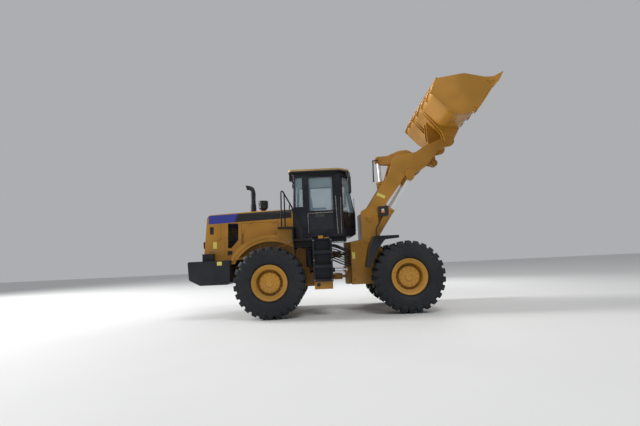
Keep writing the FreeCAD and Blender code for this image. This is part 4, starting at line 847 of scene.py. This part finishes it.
step_brackets = joined([
    box_form((-0.428, -1.166, 1.738), (-0.318, -1.090, 1.800), 0.010),
    box_form((-0.300, -1.120, 1.738), (-0.180, -1.060, 1.765), 0.006),
])
piece("step_brackets", both_sides(step_brackets), "rear_body", yellow_paint)
step_bolts = [bolt_form((x, -1.150, z), 1, -1, 0.024, 0.012)
              for x, z in ((-0.545, 1.700), (-0.150, 1.700), (-0.545, 0.800), (-0.150, 0.800), (-0.545, 1.250),
                           (-0.150, 1.250))]
piece("step_bolts", both_sides(joined(step_bolts)), "rear_body", pin_steel)
tank_caps = turned_form([(0.0, 0.040), (0.020, 0.040), (0.024, 0.036), (0.026, 0.0)], (-0.460, -1.100, 0.700), 1,
                        -1, sides=24)
piece("tank_caps", both_sides(tank_caps), "rear_body", black_paint)
print("grip triangles:", made_triangles["deck_grip"])

# %% [markdown]
# The cab's panes sit in rubber gaskets, its door has a bright bent tube inside the lower pane, and
# two silver rails run up beside it. All are bars and tubes, laid where the photograph shows them.

# %% Cab: gaskets, rails, handles and mirrors

cab_side = -0.800
door_panes = [(-0.605, -0.040, 2.420, 3.213), (-0.630, -0.050, 1.965, 2.345)]

for side, way in (("right", 1), ("left", -1)):
    body = "door_" + side + "_body"
    gasket = joined([frame_on_side(x0, x1, z0, z1, cab_side, 0.005, 0.014) for x0, x1, z0, z1 in door_panes])
    hand_bar = tube_form(smooth_path([(-0.020, -0.802, 2.150), (-0.020, -0.842, 2.165), (-0.020, -0.846, 2.255),
                                      (-0.020, -0.842, 2.325), (-0.020, -0.802, 2.340)], 5), 0.010, 12)
    waist_rail = on_side(-0.620, -0.050, 2.384, 2.400, cab_side, 0.007)
    if way < 0:
        gasket, hand_bar, waist_rail = flipped(gasket), flipped(hand_bar), flipped(waist_rail)
    piece("door_gasket_" + side, joined([gasket, hand_bar, waist_rail]), body, black_paint)
    bright = smooth_path([(-0.651, -0.802, 1.885), (-0.651, -0.816, 1.900), (-0.648, -0.818, 2.150),
                          (-0.645, -0.818, 2.330), (-0.600, -0.818, 2.357), (-0.300, -0.818, 2.362),
                          (-0.080, -0.818, 2.367), (-0.062, -0.802, 2.367)], 6)
    piece("door_tube_" + side, tube_form(bright * (1, way, 1), 0.010, 12), body, pin_steel)

quarter = frame_on_side(-0.945, -0.758, 2.525, 3.222, cab_side, 0.005, 0.012)
rain_strip = on_side(-0.985, 0.080, 3.268, 3.286, cab_side, 0.014, 0.004)
piece("cab_trim", both_sides(joined([quarter, rain_strip])), "rear_body", black_paint)

front_rail = smooth_path([(0.040, -0.803, 1.860), (0.040, -0.842, 1.880), (0.030, -0.846, 2.250),
                          (0.022, -0.842, 2.700), (0.022, -0.803, 2.725)], 8)
second_rail = smooth_path([(0.130, -0.800, 1.870), (0.126, -0.832, 1.890), (0.128, -0.834, 2.250),
                           (0.138, -0.832, 2.670), (0.140, -0.797, 2.690)], 8)
piece("grab_rails", both_sides(joined([tube_form(front_rail, 0.011, 12), tube_form(second_rail, 0.009, 12)])),
      "rear_body", pin_steel)

mirror_glass = Finish("mirror_glass", Base_Color=(0.75, 0.78, 0.80), Metallic=1.0, Roughness=0.04)
mirror_face = box_form((0.313, -1.165, 2.790), (0.3205, -0.995, 3.100), 0.003, axis=0)
piece("mirror_faces", both_sides(mirror_face), "rear_body", mirror_glass.material)
mirror_rim = tube_form(smooth_path([(0.322, -0.985, 2.770), (0.322, -0.985, 2.945), (0.322, -0.985, 3.120)], 3),
                       0.008, 8)
mirror_rim_out = (mirror_rim[0] + (0.0, -0.190, 0.0), mirror_rim[1])
piece("mirror_rims", both_sides(joined([mirror_rim, mirror_rim_out])), "rear_body", lamp_plastic)

wiper_arm = tube_form(smooth_path([(0.508, -0.060, 1.975), (0.518, -0.080, 2.060), (0.512, -0.170, 2.420)], 8),
                      0.006, 8)
wiper_blade = box_form((0.494, -0.180, 2.150), (0.506, -0.166, 2.760), 0.004)
wiper_pivot = turned_form([(0.0, 0.022), (0.020, 0.022), (0.026, 0.014), (0.026, 0.0)], (0.498, -0.060, 1.965), 0,
                          1, sides=20)
piece("wiper", joined([wiper_arm, wiper_blade, wiper_pivot]), "rear_body", black_paint)

skirt = box_form((-0.990, -0.802, 1.640), (-0.700, 0.802, 1.792), 0.012)
piece("cab_skirt", skirt, "rear_body", black_paint)
print("cab trim done, both doors carry their own handles and gaskets")

# %% [markdown]
# Inside, the seat has a base, a squab and a headrest of padded leather, all crowned. Each starts as a
# slightly small rounded box whose faces swell in the middle: height times the product of two
# half-circles. Cloth under a little pressure then gives the skin its soft pull between the seams.

# %% Padded seat


def cushion_form(low, high, crown, rounding=0.05, steps=22, axis=2):
    """Closed cushion: six faces of a rounded box whose points swell by crown in the middle."""
    low, high = np.array(low, float), np.array(high, float)
    middle, half = (low + high) / 2, (high - low) / 2
    line = np.linspace(-1, 1, steps)
    a, b = np.meshgrid(line, line, indexing="ij")
    sheets = []
    for k in range(3):
        for sign in (-1, 1):
            cube = np.empty(a.shape + (3,))
            cube[..., k] = sign
            cube[..., (k + 1) % 3], cube[..., (k + 2) % 3] = a, b
            away = cube * half - np.clip(cube * half, -(half - rounding), half - rounding)
            length = np.linalg.norm(away, axis=-1, keepdims=True)
            point = (np.clip(cube * half, -(half - rounding), half - rounding)
                     + away / np.maximum(length, 1e-9) * rounding)
            swell = crown * np.sqrt(np.clip((1 - a ** 2) * (1 - b ** 2), 0, 1)) * (0.35 if k != axis else 1.0)
            point[..., k] += sign * swell
            rows, faces = surface(point + middle)
            sheets.append((rows, faces if sign > 0 else [f[:, ::-1] for f in faces]))
    return joined(sheets)


seat_voxel = 0.009


def padded_piece(name, form, body, cap):
    """Joins the form's seams, lets cloth pressure swell it, holds each point within cap, smooths it."""
    made = piece(name, form, body, seat_leather, sharp_angle=80)
    mesh = made.data
    work = bmesh.new()
    work.from_mesh(mesh)
    bmesh.ops.remove_doubles(work, verts=work.verts, dist=0.0008)
    bmesh.ops.recalc_face_normals(work, faces=work.faces)
    work.to_mesh(mesh)
    work.free()
    bpy.context.view_layer.objects.active = made
    remesh = made.modifiers.new("remesh", "REMESH")
    remesh.mode = "VOXEL"
    remesh.voxel_size = seat_voxel
    bpy.ops.object.modifier_apply(modifier="remesh")
    count = len(mesh.vertices)
    before = np.empty(count * 3)
    made.data.vertices.foreach_get("co", before)
    cloth = made.modifiers.new("cloth", "CLOTH")
    cloth.settings.use_pressure = True
    cloth.settings.uniform_pressure_force = 4.0
    cloth.settings.effector_weights.gravity = 0.0
    scene = bpy.context.scene
    for moment in range(1, 21):
        scene.frame_set(moment)
    bpy.ops.object.modifier_apply(modifier="cloth")
    scene.frame_set(1)
    after = np.empty(len(made.data.vertices) * 3)
    made.data.vertices.foreach_get("co", after)
    move = (after - before).reshape(-1, 3)
    length = np.linalg.norm(move, axis=1)[:, None]
    move *= np.minimum(1.0, cap / np.maximum(length, 1e-9))
    made.data.vertices.foreach_set("co", (before.reshape(-1, 3) + move).ravel())
    finer = made.modifiers.new("finer", "SUBSURF")
    finer.levels = finer.render_levels = 1
    bpy.ops.object.modifier_apply(modifier="finer")
    made.data.polygons.foreach_set("use_smooth", np.ones(len(made.data.polygons), bool))
    made.data.update()
    made_triangles[name] = sum(len(p.vertices) - 2 for p in made.data.polygons)
    print(name, "largest move", round(float(length.max()) * 1000, 1), "mm, capped at", cap * 1000)
    return made


seat_base = cushion_form((-0.630, -0.268, 2.132), (-0.092, 0.268, 2.302), 0.022, 0.055)
padded_piece("seat_cushion", seat_base, "rear_body", 0.022)
lean = math.radians(5.1)
back_turn = np.array([(math.cos(lean), 0, math.sin(lean)), (0, 1, 0), (-math.sin(lean), 0, math.cos(lean))])
back_points, back_faces = cushion_form((-0.082, -0.260, 0.0), (0.082, 0.260, 0.660), 0.020, 0.060, axis=0)
padded_piece("seat_back", (back_points @ back_turn + (-0.632, 0.0, 2.262), back_faces), "rear_body", 0.022)
head_points, head_faces = cushion_form((-0.045, -0.140, 0.0), (0.045, 0.140, 0.170), 0.014, 0.035, axis=0)
padded_piece("head_rest", (head_points @ back_turn + (-0.690, 0.0, 2.935), head_faces), "rear_body", 0.014)

# %% [markdown]
# The operator's other things are hard plastic: two armrests, a lever box with three knobs at the
# right hand, and the steering wheel, a ring on three spokes.

# %% Armrests, levers, steering wheel and instrument hood

arm_rests = [box_form((-0.560, side - 0.035, 2.500), (-0.200, side + 0.035, 2.550), 0.020)
             for side in (-0.310, 0.310)]
arm_posts = [box_form((-0.540, side - 0.018, 2.260), (-0.500, side + 0.018, 2.505), 0.008)
             for side in (-0.300, 0.300)]
lever_box = box_form((-0.260, -0.560, 1.846), (0.120, -0.400, 2.430), 0.020)
side_box = box_form((-0.700, 0.420, 1.846), (-0.200, 0.600, 2.300), 0.020)
levers = []
for k in range(3):
    foot = np.array((-0.090 + 0.075 * k, -0.480, 2.420))
    levers.append(tube_form([foot, foot + (0.010, 0.0, 0.090), foot + (0.030, 0.0, 0.150)], 0.006, 8))
    levers.append(turned_form([(0.0, 0.008), (0.006, 0.017), (0.022, 0.021), (0.036, 0.016), (0.042, 0.0)],
                              foot + (0.030, 0.0, 0.145), 2, 1, sides=16))
wheel_middle, wheel_radius, grip_radius = np.array((0.166, 0.0, 2.565)), 0.177, 0.013
ring_turn = np.arange(48) * 2 * math.pi / 48
grip_turn = np.arange(10) * 2 * math.pi / 10
radial = np.stack([np.cos(ring_turn), np.sin(ring_turn), 0 * ring_turn], 1)
across = (radial[:, None] * np.cos(grip_turn)[None, :, None]
          + np.array((0, 0, 1.0)) * np.sin(grip_turn)[None, :, None])
rim_points, rim_faces = surface(radial[:, None] * wheel_radius + across * grip_radius, True, True)
rake = math.radians(11.3)
rake_turn = np.array([(math.cos(rake), 0, math.sin(rake)), (0, 1, 0), (-math.sin(rake), 0, math.cos(rake))])
wheel_parts = [(rim_points @ rake_turn + wheel_middle, [f[:, ::-1] for f in rim_faces])]
for angle in (0.5, 2.6, 4.7):
    out = np.array((math.cos(angle), math.sin(angle), 0.0)) @ rake_turn
    wheel_parts.append(tube_form([wheel_middle - (0, 0, 0.020), wheel_middle + out * wheel_radius], 0.009, 8))
wheel_parts.append(tube_form([(0.300, 0, 1.905), (0.235, 0, 2.225), (0.185, 0, 2.470), (0.170, 0, 2.560)],
                             [0.055, 0.042, 0.046, 0.062], 20))
wheel_parts.append(box_form((0.150, -0.200, 1.845), (0.375, 0.200, 2.025), 0.025))
hood_form = box_form((0.235, -0.190, 2.330), (0.345, 0.190, 2.470), 0.030)
piece("operator_station", joined(arm_rests + arm_posts + [lever_box, side_box, hood_form] + levers), "rear_body",
      lamp_plastic)
steering = piece("steering_wheel", joined(wheel_parts), "rear_body", lamp_plastic)
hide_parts("console")
print("cushions, wheel and levers:", made_triangles["seat_cushion"], made_triangles["steering_wheel"])

# %% [markdown]
# Black hoses carry oil across the hitch, from under the cab to the front frame. Each could hang as a
# free cord. These are stiff and clamped at both ends, so each is a tube along a curve through a few
# points; they ride on neither half of the machine.

# %% Hoses across the hitch

hose_count = 8
hitch_hoses = []
for k in range(hose_count):
    side = -0.305 - 0.012 * (k % 2)
    corners = [(-0.420, side, 1.620 - 0.044 * k), (-0.200, side, 1.630 - 0.050 * k),
               (-0.020, side - 0.020, 1.605 - 0.057 * k), (0.120, side - 0.025, 1.545 - 0.058 * k),
               (0.240, side - 0.010, 1.480 - 0.054 * k), (0.345, side, 1.440 - 0.050 * k)]
    hitch_hoses.append(tube_form(smooth_path(corners, 7), 0.0145, 10))
    ends = [turned_form([(-0.018, 0.013), (-0.018, 0.019), (0.018, 0.019), (0.018, 0.013)], corner, 0, 1, sides=6,
                        closed=True) for corner in (corners[0], corners[-1])]
    hitch_hoses += ends
left_hoses = flipped(joined(hitch_hoses[:3] + hitch_hoses[-3:]))
for name, form in (("hitch_hoses_right", joined(hitch_hoses)), ("hitch_hoses_left", left_hoses)):
    hoses = piece(name, form, None, hose_rubber, sharp_angle=60)
    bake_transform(hoses)
hose_bracket = box_form((-0.450, -0.398, 1.290), (-0.415, -0.270, 1.640), 0.004)
air_tank = box_form((-0.735, -0.720, 1.100), (-0.585, -0.397, 1.540), 0.030)
piece("hose_brackets", both_sides(joined([hose_bracket, air_tank])), "rear_body", black_paint)
print("hose triangles:", made_triangles["hitch_hoses_right"])

# %% [markdown]
# On the arm, black pipes lead oil along the boom, and a thin black pointer
# hangs at the bellcrank's tail: the operator reads from it how the bucket lies.

# %% Pipes, pointer and pin keepers

boom_pipes = []
for k in range(2):
    shift = 0.034 * k
    lead = [(0.760 + shift, -0.345, 2.330), (1.010 + shift, -0.345, 2.750), (1.270 + shift, -0.345, 3.140),
            (1.420 + shift, -0.345, 3.290)]
    boom_pipes.append(tube_form(smooth_path(lead, 5), 0.010, 10))
clips = [box_form((x, -0.372, z), (x + 0.080, -0.330, z + 0.022), 0.004)
         for x, z in ((0.905, 2.560), (1.190, 3.000))]
piece("boom_pipes", both_sides(joined(boom_pipes + clips)), "boom_body", black_paint)

pointer_y = -0.128
pointer = tube_form([(1.048, pointer_y, 3.732), (1.040, pointer_y, 3.460), (1.036, pointer_y, 3.190)], 0.018, 12)
pointer_arm = tube_form(smooth_path([(1.046, pointer_y, 3.715), (1.110, pointer_y, 3.722),
                                     (1.190, -0.110, 3.738)], 4), 0.013, 10)
pointer_knob = turned_form([(-0.016, 0.0), (-0.016, 0.022), (0.016, 0.022), (0.016, 0.0)],
                           (1.036, pointer_y, 3.182), 2, 1, sides=14)
piece("bucket_pointer", joined([pointer, pointer_arm, pointer_knob]), "bellcrank_body", black_paint)


def keeper(x, z, y, out, radius):
    """Plate that stops a pin's turn: a disc with a grease nipple, and a bar with one bolt."""
    disc = turned_form([(0.0, radius), (0.006, radius), (0.008, radius - 0.003), (0.008, 0.0)], (x, y, z), 1, out,
                       sides=32)
    nipple = turned_form([(0.008, 0.007), (0.014, 0.006), (0.020, 0.0045), (0.024, 0.003), (0.024, 0.0)], (x, y, z),
                         1, out, sides=10)
    bar = box_form((x - radius * 1.45, y, z - radius * 0.30),
                   (x + radius * 0.2, y + out * 0.007, z + radius * 0.30), 0.002, axis=1)
    bolt = bolt_form((x - radius * 1.18, y + out * 0.006, z), 1, out, 0.019, 0.009)
    return joined([disc, nipple, bar, bolt])


front_keepers = [keeper(0.820, 2.200, -0.557, -1, 0.062), keeper(0.840, 1.610, -0.557, -1, 0.062)]
piece("front_keepers", both_sides(joined(front_keepers)), "front_body", yellow_paint)
bucket_keepers = keeper(2.930, 4.060, -0.512, -1, 0.058)
piece("bucket_keepers", both_sides(bucket_keepers), "bucket_pins_body", yellow_paint)
frame_bolts = [bolt_form((x, -0.545, z), 1, -1, 0.030, 0.016)
               for x, z in ((0.400, 1.580), (0.400, 1.420), (0.400, 1.000), (0.400, 0.760), (0.560, 1.610),
                            (0.700, 1.640), (0.985, 1.560), (0.985, 1.400))]
piece("front_bolts", both_sides(joined(frame_bolts)), "front_body", nut_paint)
weld_beads = [tube_form([(0.345, -0.548, 0.700), (0.345, -0.548, 1.640)], 0.006, 8),
              tube_form([(0.360, -0.548, 1.655), (0.560, -0.548, 1.690)], 0.005, 8)]
piece("front_welds", both_sides(joined(weld_beads)), "front_body", yellow_paint)
front_label = on_side(0.262, 0.330, 1.248, 1.417, -0.545, 0.003, 0.001)
front_label = (front_label[0] + (0.100, 0.0, 0.0), front_label[1])
piece("front_labels", both_sides(front_label), "front_body", label_finish)
label_outline = [(1.076, 2.837), (1.267, 2.743), (1.235, 2.680), (1.045, 2.773)]
arm_label = plate_form(label_outline, -0.4525, -0.449)
piece("boom_labels", both_sides(arm_label), "boom_body", label_finish)

# %% [markdown]
# Each headlamp is a box with a round lens in front and an amber one towards the side, and the roof
# carries square work lamps. A lens could glow. Here it only shines back: bright reflector colours
# under a glossy coat, with moulded flutes.

# %% Lamps

lamp_low, lamp_high = (0.985, -1.110, 2.195), (1.205, -0.890, 2.415)
front_x = lamp_high[0]
bezel = turned_form([(0.0, 0.100), (0.012, 0.100), (0.016, 0.094), (0.006, 0.084), (0.0, 0.084)],
                    (front_x - 0.004, -1.000, 2.312), 0, 1, sides=40, closed=True)
hood_lip = box_form((lamp_low[0] - 0.004, lamp_low[1] - 0.005, 2.400),
                    (front_x + 0.022, lamp_high[1] + 0.005, 2.420), 0.006)
side_bezel = frame_on_side(1.040, 1.120, 2.262, 2.352, lamp_low[1], 0.007, 0.010)
piece("headlamp_trim", both_sides(joined([bezel, hood_lip, side_bezel])), "front_body", lamp_plastic)
lens_rows = [(-0.002, 0.086), (0.004, 0.084), (0.012, 0.070), (0.018, 0.045), (0.021, 0.0)]
round_lens = turned_form(lens_rows, (front_x, -1.000, 2.312), 0, 1, sides=40)
piece("headlamp_lens", both_sides(round_lens), "front_body", clear_lens)
amber_front = box_form((front_x - 0.004, -1.092, 2.200), (front_x + 0.006, -0.908, 2.222), 0.004)
amber_side = on_side(1.042, 1.118, 2.264, 2.310, lamp_low[1], 0.006)
white_side = on_side(1.050, 1.110, 2.314, 2.350, lamp_low[1], 0.006)
piece("indicator_lens", both_sides(joined([amber_front, amber_side])), "front_body", amber_lens)
piece("side_lens", both_sides(white_side), "front_body", clear_lens)
work_rims, work_lenses = [], []
for y in (-0.500, 0.500):
    work_rims.append(box_form((0.398, y - 0.094, 3.222), (0.412, y + 0.094, 3.348), 0.008, axis=0))
    work_rims.append(box_form((-1.082, y - 0.084, 3.202), (-1.070, y + 0.084, 3.348), 0.008, axis=0))
    work_lenses.append(box_form((0.408, y - 0.078, 3.238), (0.416, y + 0.078, 3.332), 0.006, axis=0))
    work_lenses.append(box_form((-1.088, y - 0.070, 3.218), (-1.080, y + 0.070, 3.332), 0.006, axis=0))
piece("work_lamp_rims", joined(work_rims), "rear_body", lamp_plastic)
piece("work_lamp_lenses", joined(work_lenses), "rear_body", clear_lens)

# %% [markdown]
# The bucket is still new: even its teeth wear paint. What tells its size is how it is put together:
# caps pushed over each tooth with a pin through them, weld beads along both side plates, flat bars
# under the floor and a round bar on the upper lip. A bead is a tube that follows the sheet's outline.

# %% Bucket: tooth caps, welds, bars and corner bolts

bucket_rest = math.radians(54)
bucket_pivot = np.array((2.930, 0.0, 4.060))
floor_z, bucket_half = -0.072, 1.480


def placed(form):
    """From the bucket's own view, its floor level, to its place at rest: a turn and a shift."""
    c, s = math.cos(bucket_rest), math.sin(bucket_rest)
    turn = np.array([(c, 0, s), (0, 1, 0), (-s, 0, c)])
    return form[0] @ turn + bucket_pivot, form[1]


def filleted(corners, steps=8):
    """Outline whose corners (x, z, radius) are rounded: each corner gives an arc between its tangents."""
    corners = np.array(corners, float)
    out = [corners[0, :2]]
    for before, corner, after in zip(corners, corners[1:], corners[2:]):
        back, ahead_way = before[:2] - corner[:2], after[:2] - corner[:2]
        back, ahead_way = back / np.linalg.norm(back), ahead_way / np.linalg.norm(ahead_way)
        half_angle = math.acos(np.clip(np.dot(back, ahead_way), -1, 1)) / 2
        middle_way = (back + ahead_way) / np.linalg.norm(back + ahead_way)
        centre = corner[:2] + middle_way * corner[2] / math.sin(half_angle)
        start, end = (corner[:2] + way * corner[2] / math.tan(half_angle) - centre for way in (back, ahead_way))
        share = np.linspace(0, 1, steps)[:, None]
        arc = start * (1 - share) + end * share
        out += list(centre + arc / np.linalg.norm(arc, axis=1)[:, None] * corner[2])
    return np.array(out + [corners[-1, :2]])


shell_line = filleted([(1.240, floor_z, 0), (0.075, floor_z, 0.510), (0.291, 0.979, 0.120), (0.655, 1.100, 0)])
bead_path = np.column_stack([shell_line[:, 0], np.full(len(shell_line), -bucket_half - 0.001), shell_line[:, 1]])
tooth_places = np.linspace(-bucket_half, bucket_half - 0.090, 8)
cap_side = np.array([(1.392, floor_z - 0.042), (1.434, floor_z - 0.0445), (1.648, floor_z - 0.017),
                     (1.642, floor_z - 0.008), (1.438, floor_z + 0.098), (1.392, floor_z + 0.114)])
cap = plate_form(cap_side, -0.004, 0.094)
tooth_pin = turned_form([(-0.098, 0.0), (-0.098, 0.014), (0.008, 0.014), (0.008, 0.0)],
                        (1.335, 0.0, floor_z + 0.020), 1, -1, sides=14)
moves = np.column_stack([0 * tooth_places, tooth_places, 0 * tooth_places])
teeth = [repeated(cap, moves), repeated(tooth_pin, moves)]
piece("tooth_caps", placed(joined(teeth)), "bucket_body", yellow_paint)
edge_places = (tooth_places[:-1] + tooth_places[1:]) / 2 + 0.045
edge_bolt = bolt_form((1.330, 0.0, floor_z + 0.024), 2, 1, 0.036, 0.016)
edge_moves = np.concatenate([np.column_stack([0 * edge_places, edge_places + shift, 0 * edge_places])
                             for shift in (-0.060, 0.060)])
corner_bolts = [bolt_form((x, bucket_half, z), 1, 1, 0.034, 0.018)
                for x, z in ((1.270, 0.020), (1.270, 0.095), (1.340, 0.000))]
piece("bucket_bolts", placed(joined([repeated(edge_bolt, edge_moves), both_sides(joined(corner_bolts))])),
      "bucket_body", yellow_paint)
bars = [box_form((0.560, y - 0.050, floor_z - 0.014), (1.200, y + 0.050, floor_z + 0.002), 0.004)
        for y in np.linspace(-1.250, 1.250, 6)]
lip_bar = tube_form([(0.672, -bucket_half, 1.101), (0.672, 0.0, 1.101), (0.672, bucket_half, 1.101)], 0.018, 14)
side_strip = on_side(0.560, 1.200, floor_z + 0.004, floor_z + 0.110, -bucket_half, 0.012, 0.004)
side_beads = both_sides(tube_form(bead_path, 0.006, 8))
piece("bucket_bars", placed(joined(bars + [lip_bar, both_sides(side_strip), side_beads])), "bucket_body", yellow_paint)
print("bucket triangles:", made_triangles["tooth_caps"] + made_triangles["bucket_bars"])

# %% [markdown]
# The camera stands where the photographer stood: ten and a half metres from the machine's middle, at
# breast height, looking a little up. Its turn is written as yaw, pitch and roll, and made into the
# three directions that Blender wants.

# %% Camera

camera_place = (-0.316, -10.5635, 1.241)
camera_yaw = -0.0048
camera_pitch = 0.114
camera_roll = -0.0463
focal_pixels = 415.0
image_width = 640

ahead = np.array([math.sin(camera_yaw) * math.cos(camera_pitch),
                  math.cos(camera_yaw) * math.cos(camera_pitch), math.sin(camera_pitch)])
level_right = np.array([math.cos(camera_yaw), -math.sin(camera_yaw), 0.0])
level_up = np.cross(level_right, ahead)
right = math.cos(camera_roll) * level_right + math.sin(camera_roll) * level_up
up = -math.sin(camera_roll) * level_right + math.cos(camera_roll) * level_up

lens = bpy.data.cameras.new("camera")
lens.sensor_width = 36.0
lens.lens = focal_pixels / image_width * lens.sensor_width
lens.clip_end = 200.0
camera = bpy.data.objects.new("camera", lens)
bpy.context.scene.collection.objects.link(camera)
turn = np.eye(4)
turn[:3, 0], turn[:3, 1], turn[:3, 2] = right, up, -ahead
turn[:3, 3] = to_frame(camera_place)
camera.matrix_world = Matrix(turn.tolist())
bpy.context.scene.camera = camera
print("lens", round(lens.lens, 2), "mm")

# %% [markdown]
# The studio is a pale floor that runs to the horizon under an even pale world. One wide soft lamp
# stands high behind the machine's tail, where the sun stood, so that the bucket's back is bright and
# the near side lies in its own soft shade; two weak ones, on the near and on the far side, keep that
# shade readable.

# %% Floor and light


def floor_finish():
    finish = Finish("floor_paint", Roughness=0.85)
    finish.set(Base_Color=finish.mix(finish.noise(0.6, 3.0), (0.66, 0.66, 0.65), (0.70, 0.70, 0.69)))
    return finish.material


floor_half = 60.0
edge = np.linspace(-floor_half, floor_half, 3)
grid = np.stack(np.meshgrid(edge, edge) + [np.zeros((3, 3))], -1)
floor_points, floor_faces = surface(grid)
floor_mesh = bpy.data.meshes.new("studio_floor")
floor_mesh.from_pydata(floor_points.tolist(), [], floor_faces[0].tolist())
floor_mesh.materials.append(floor_finish())
floor = bpy.data.objects.new("studio_floor", floor_mesh)
bpy.context.scene.collection.objects.link(floor)


def lamp(name, place, target, size, strength):
    """Round area lamp; strength 1 lights a facing surface at the target as much as a white world."""
    back = np.array(place, float) - np.array(target, float)
    distance = np.linalg.norm(back)
    back /= distance
    data = bpy.data.lights.new(name, "AREA")
    data.shape = "DISK"
    data.size = size
    data.energy = strength * math.pi ** 2 * distance ** 2
    made = bpy.data.objects.new(name, data)
    bpy.context.scene.collection.objects.link(made)
    across = np.cross((0, 0, 1), back)
    across /= np.linalg.norm(across)
    turn = np.eye(4)
    turn[:3, 0], turn[:3, 1], turn[:3, 2], turn[:3, 3] = across, np.cross(back, across), back, place
    made.matrix_world = Matrix(turn.tolist())


lamp("key_lamp", (-23.0, 3.5, 12.0), (0.0, 0.0, 2.0), 6.0, 1.10)
lamp("near_lamp", (2.0, -9.0, 14.0), (0.0, 0.0, 1.8), 6.0, 0.30)
lamp("far_lamp", (4.0, 10.0, 8.0), (0.0, 0.0, 1.8), 7.0, 0.30)

world = bpy.data.worlds.new("studio_world")
bpy.context.scene.world = world
world.use_nodes = True
background = world.node_tree.nodes["Background"]
background.inputs["Color"].default_value = (0.90, 0.92, 0.95, 1.0)
background.inputs["Strength"].default_value = 0.46
bpy.context.scene.view_settings.view_transform = "Standard"

# %% Measure
print("added triangles:", sum(made_triangles.values()))
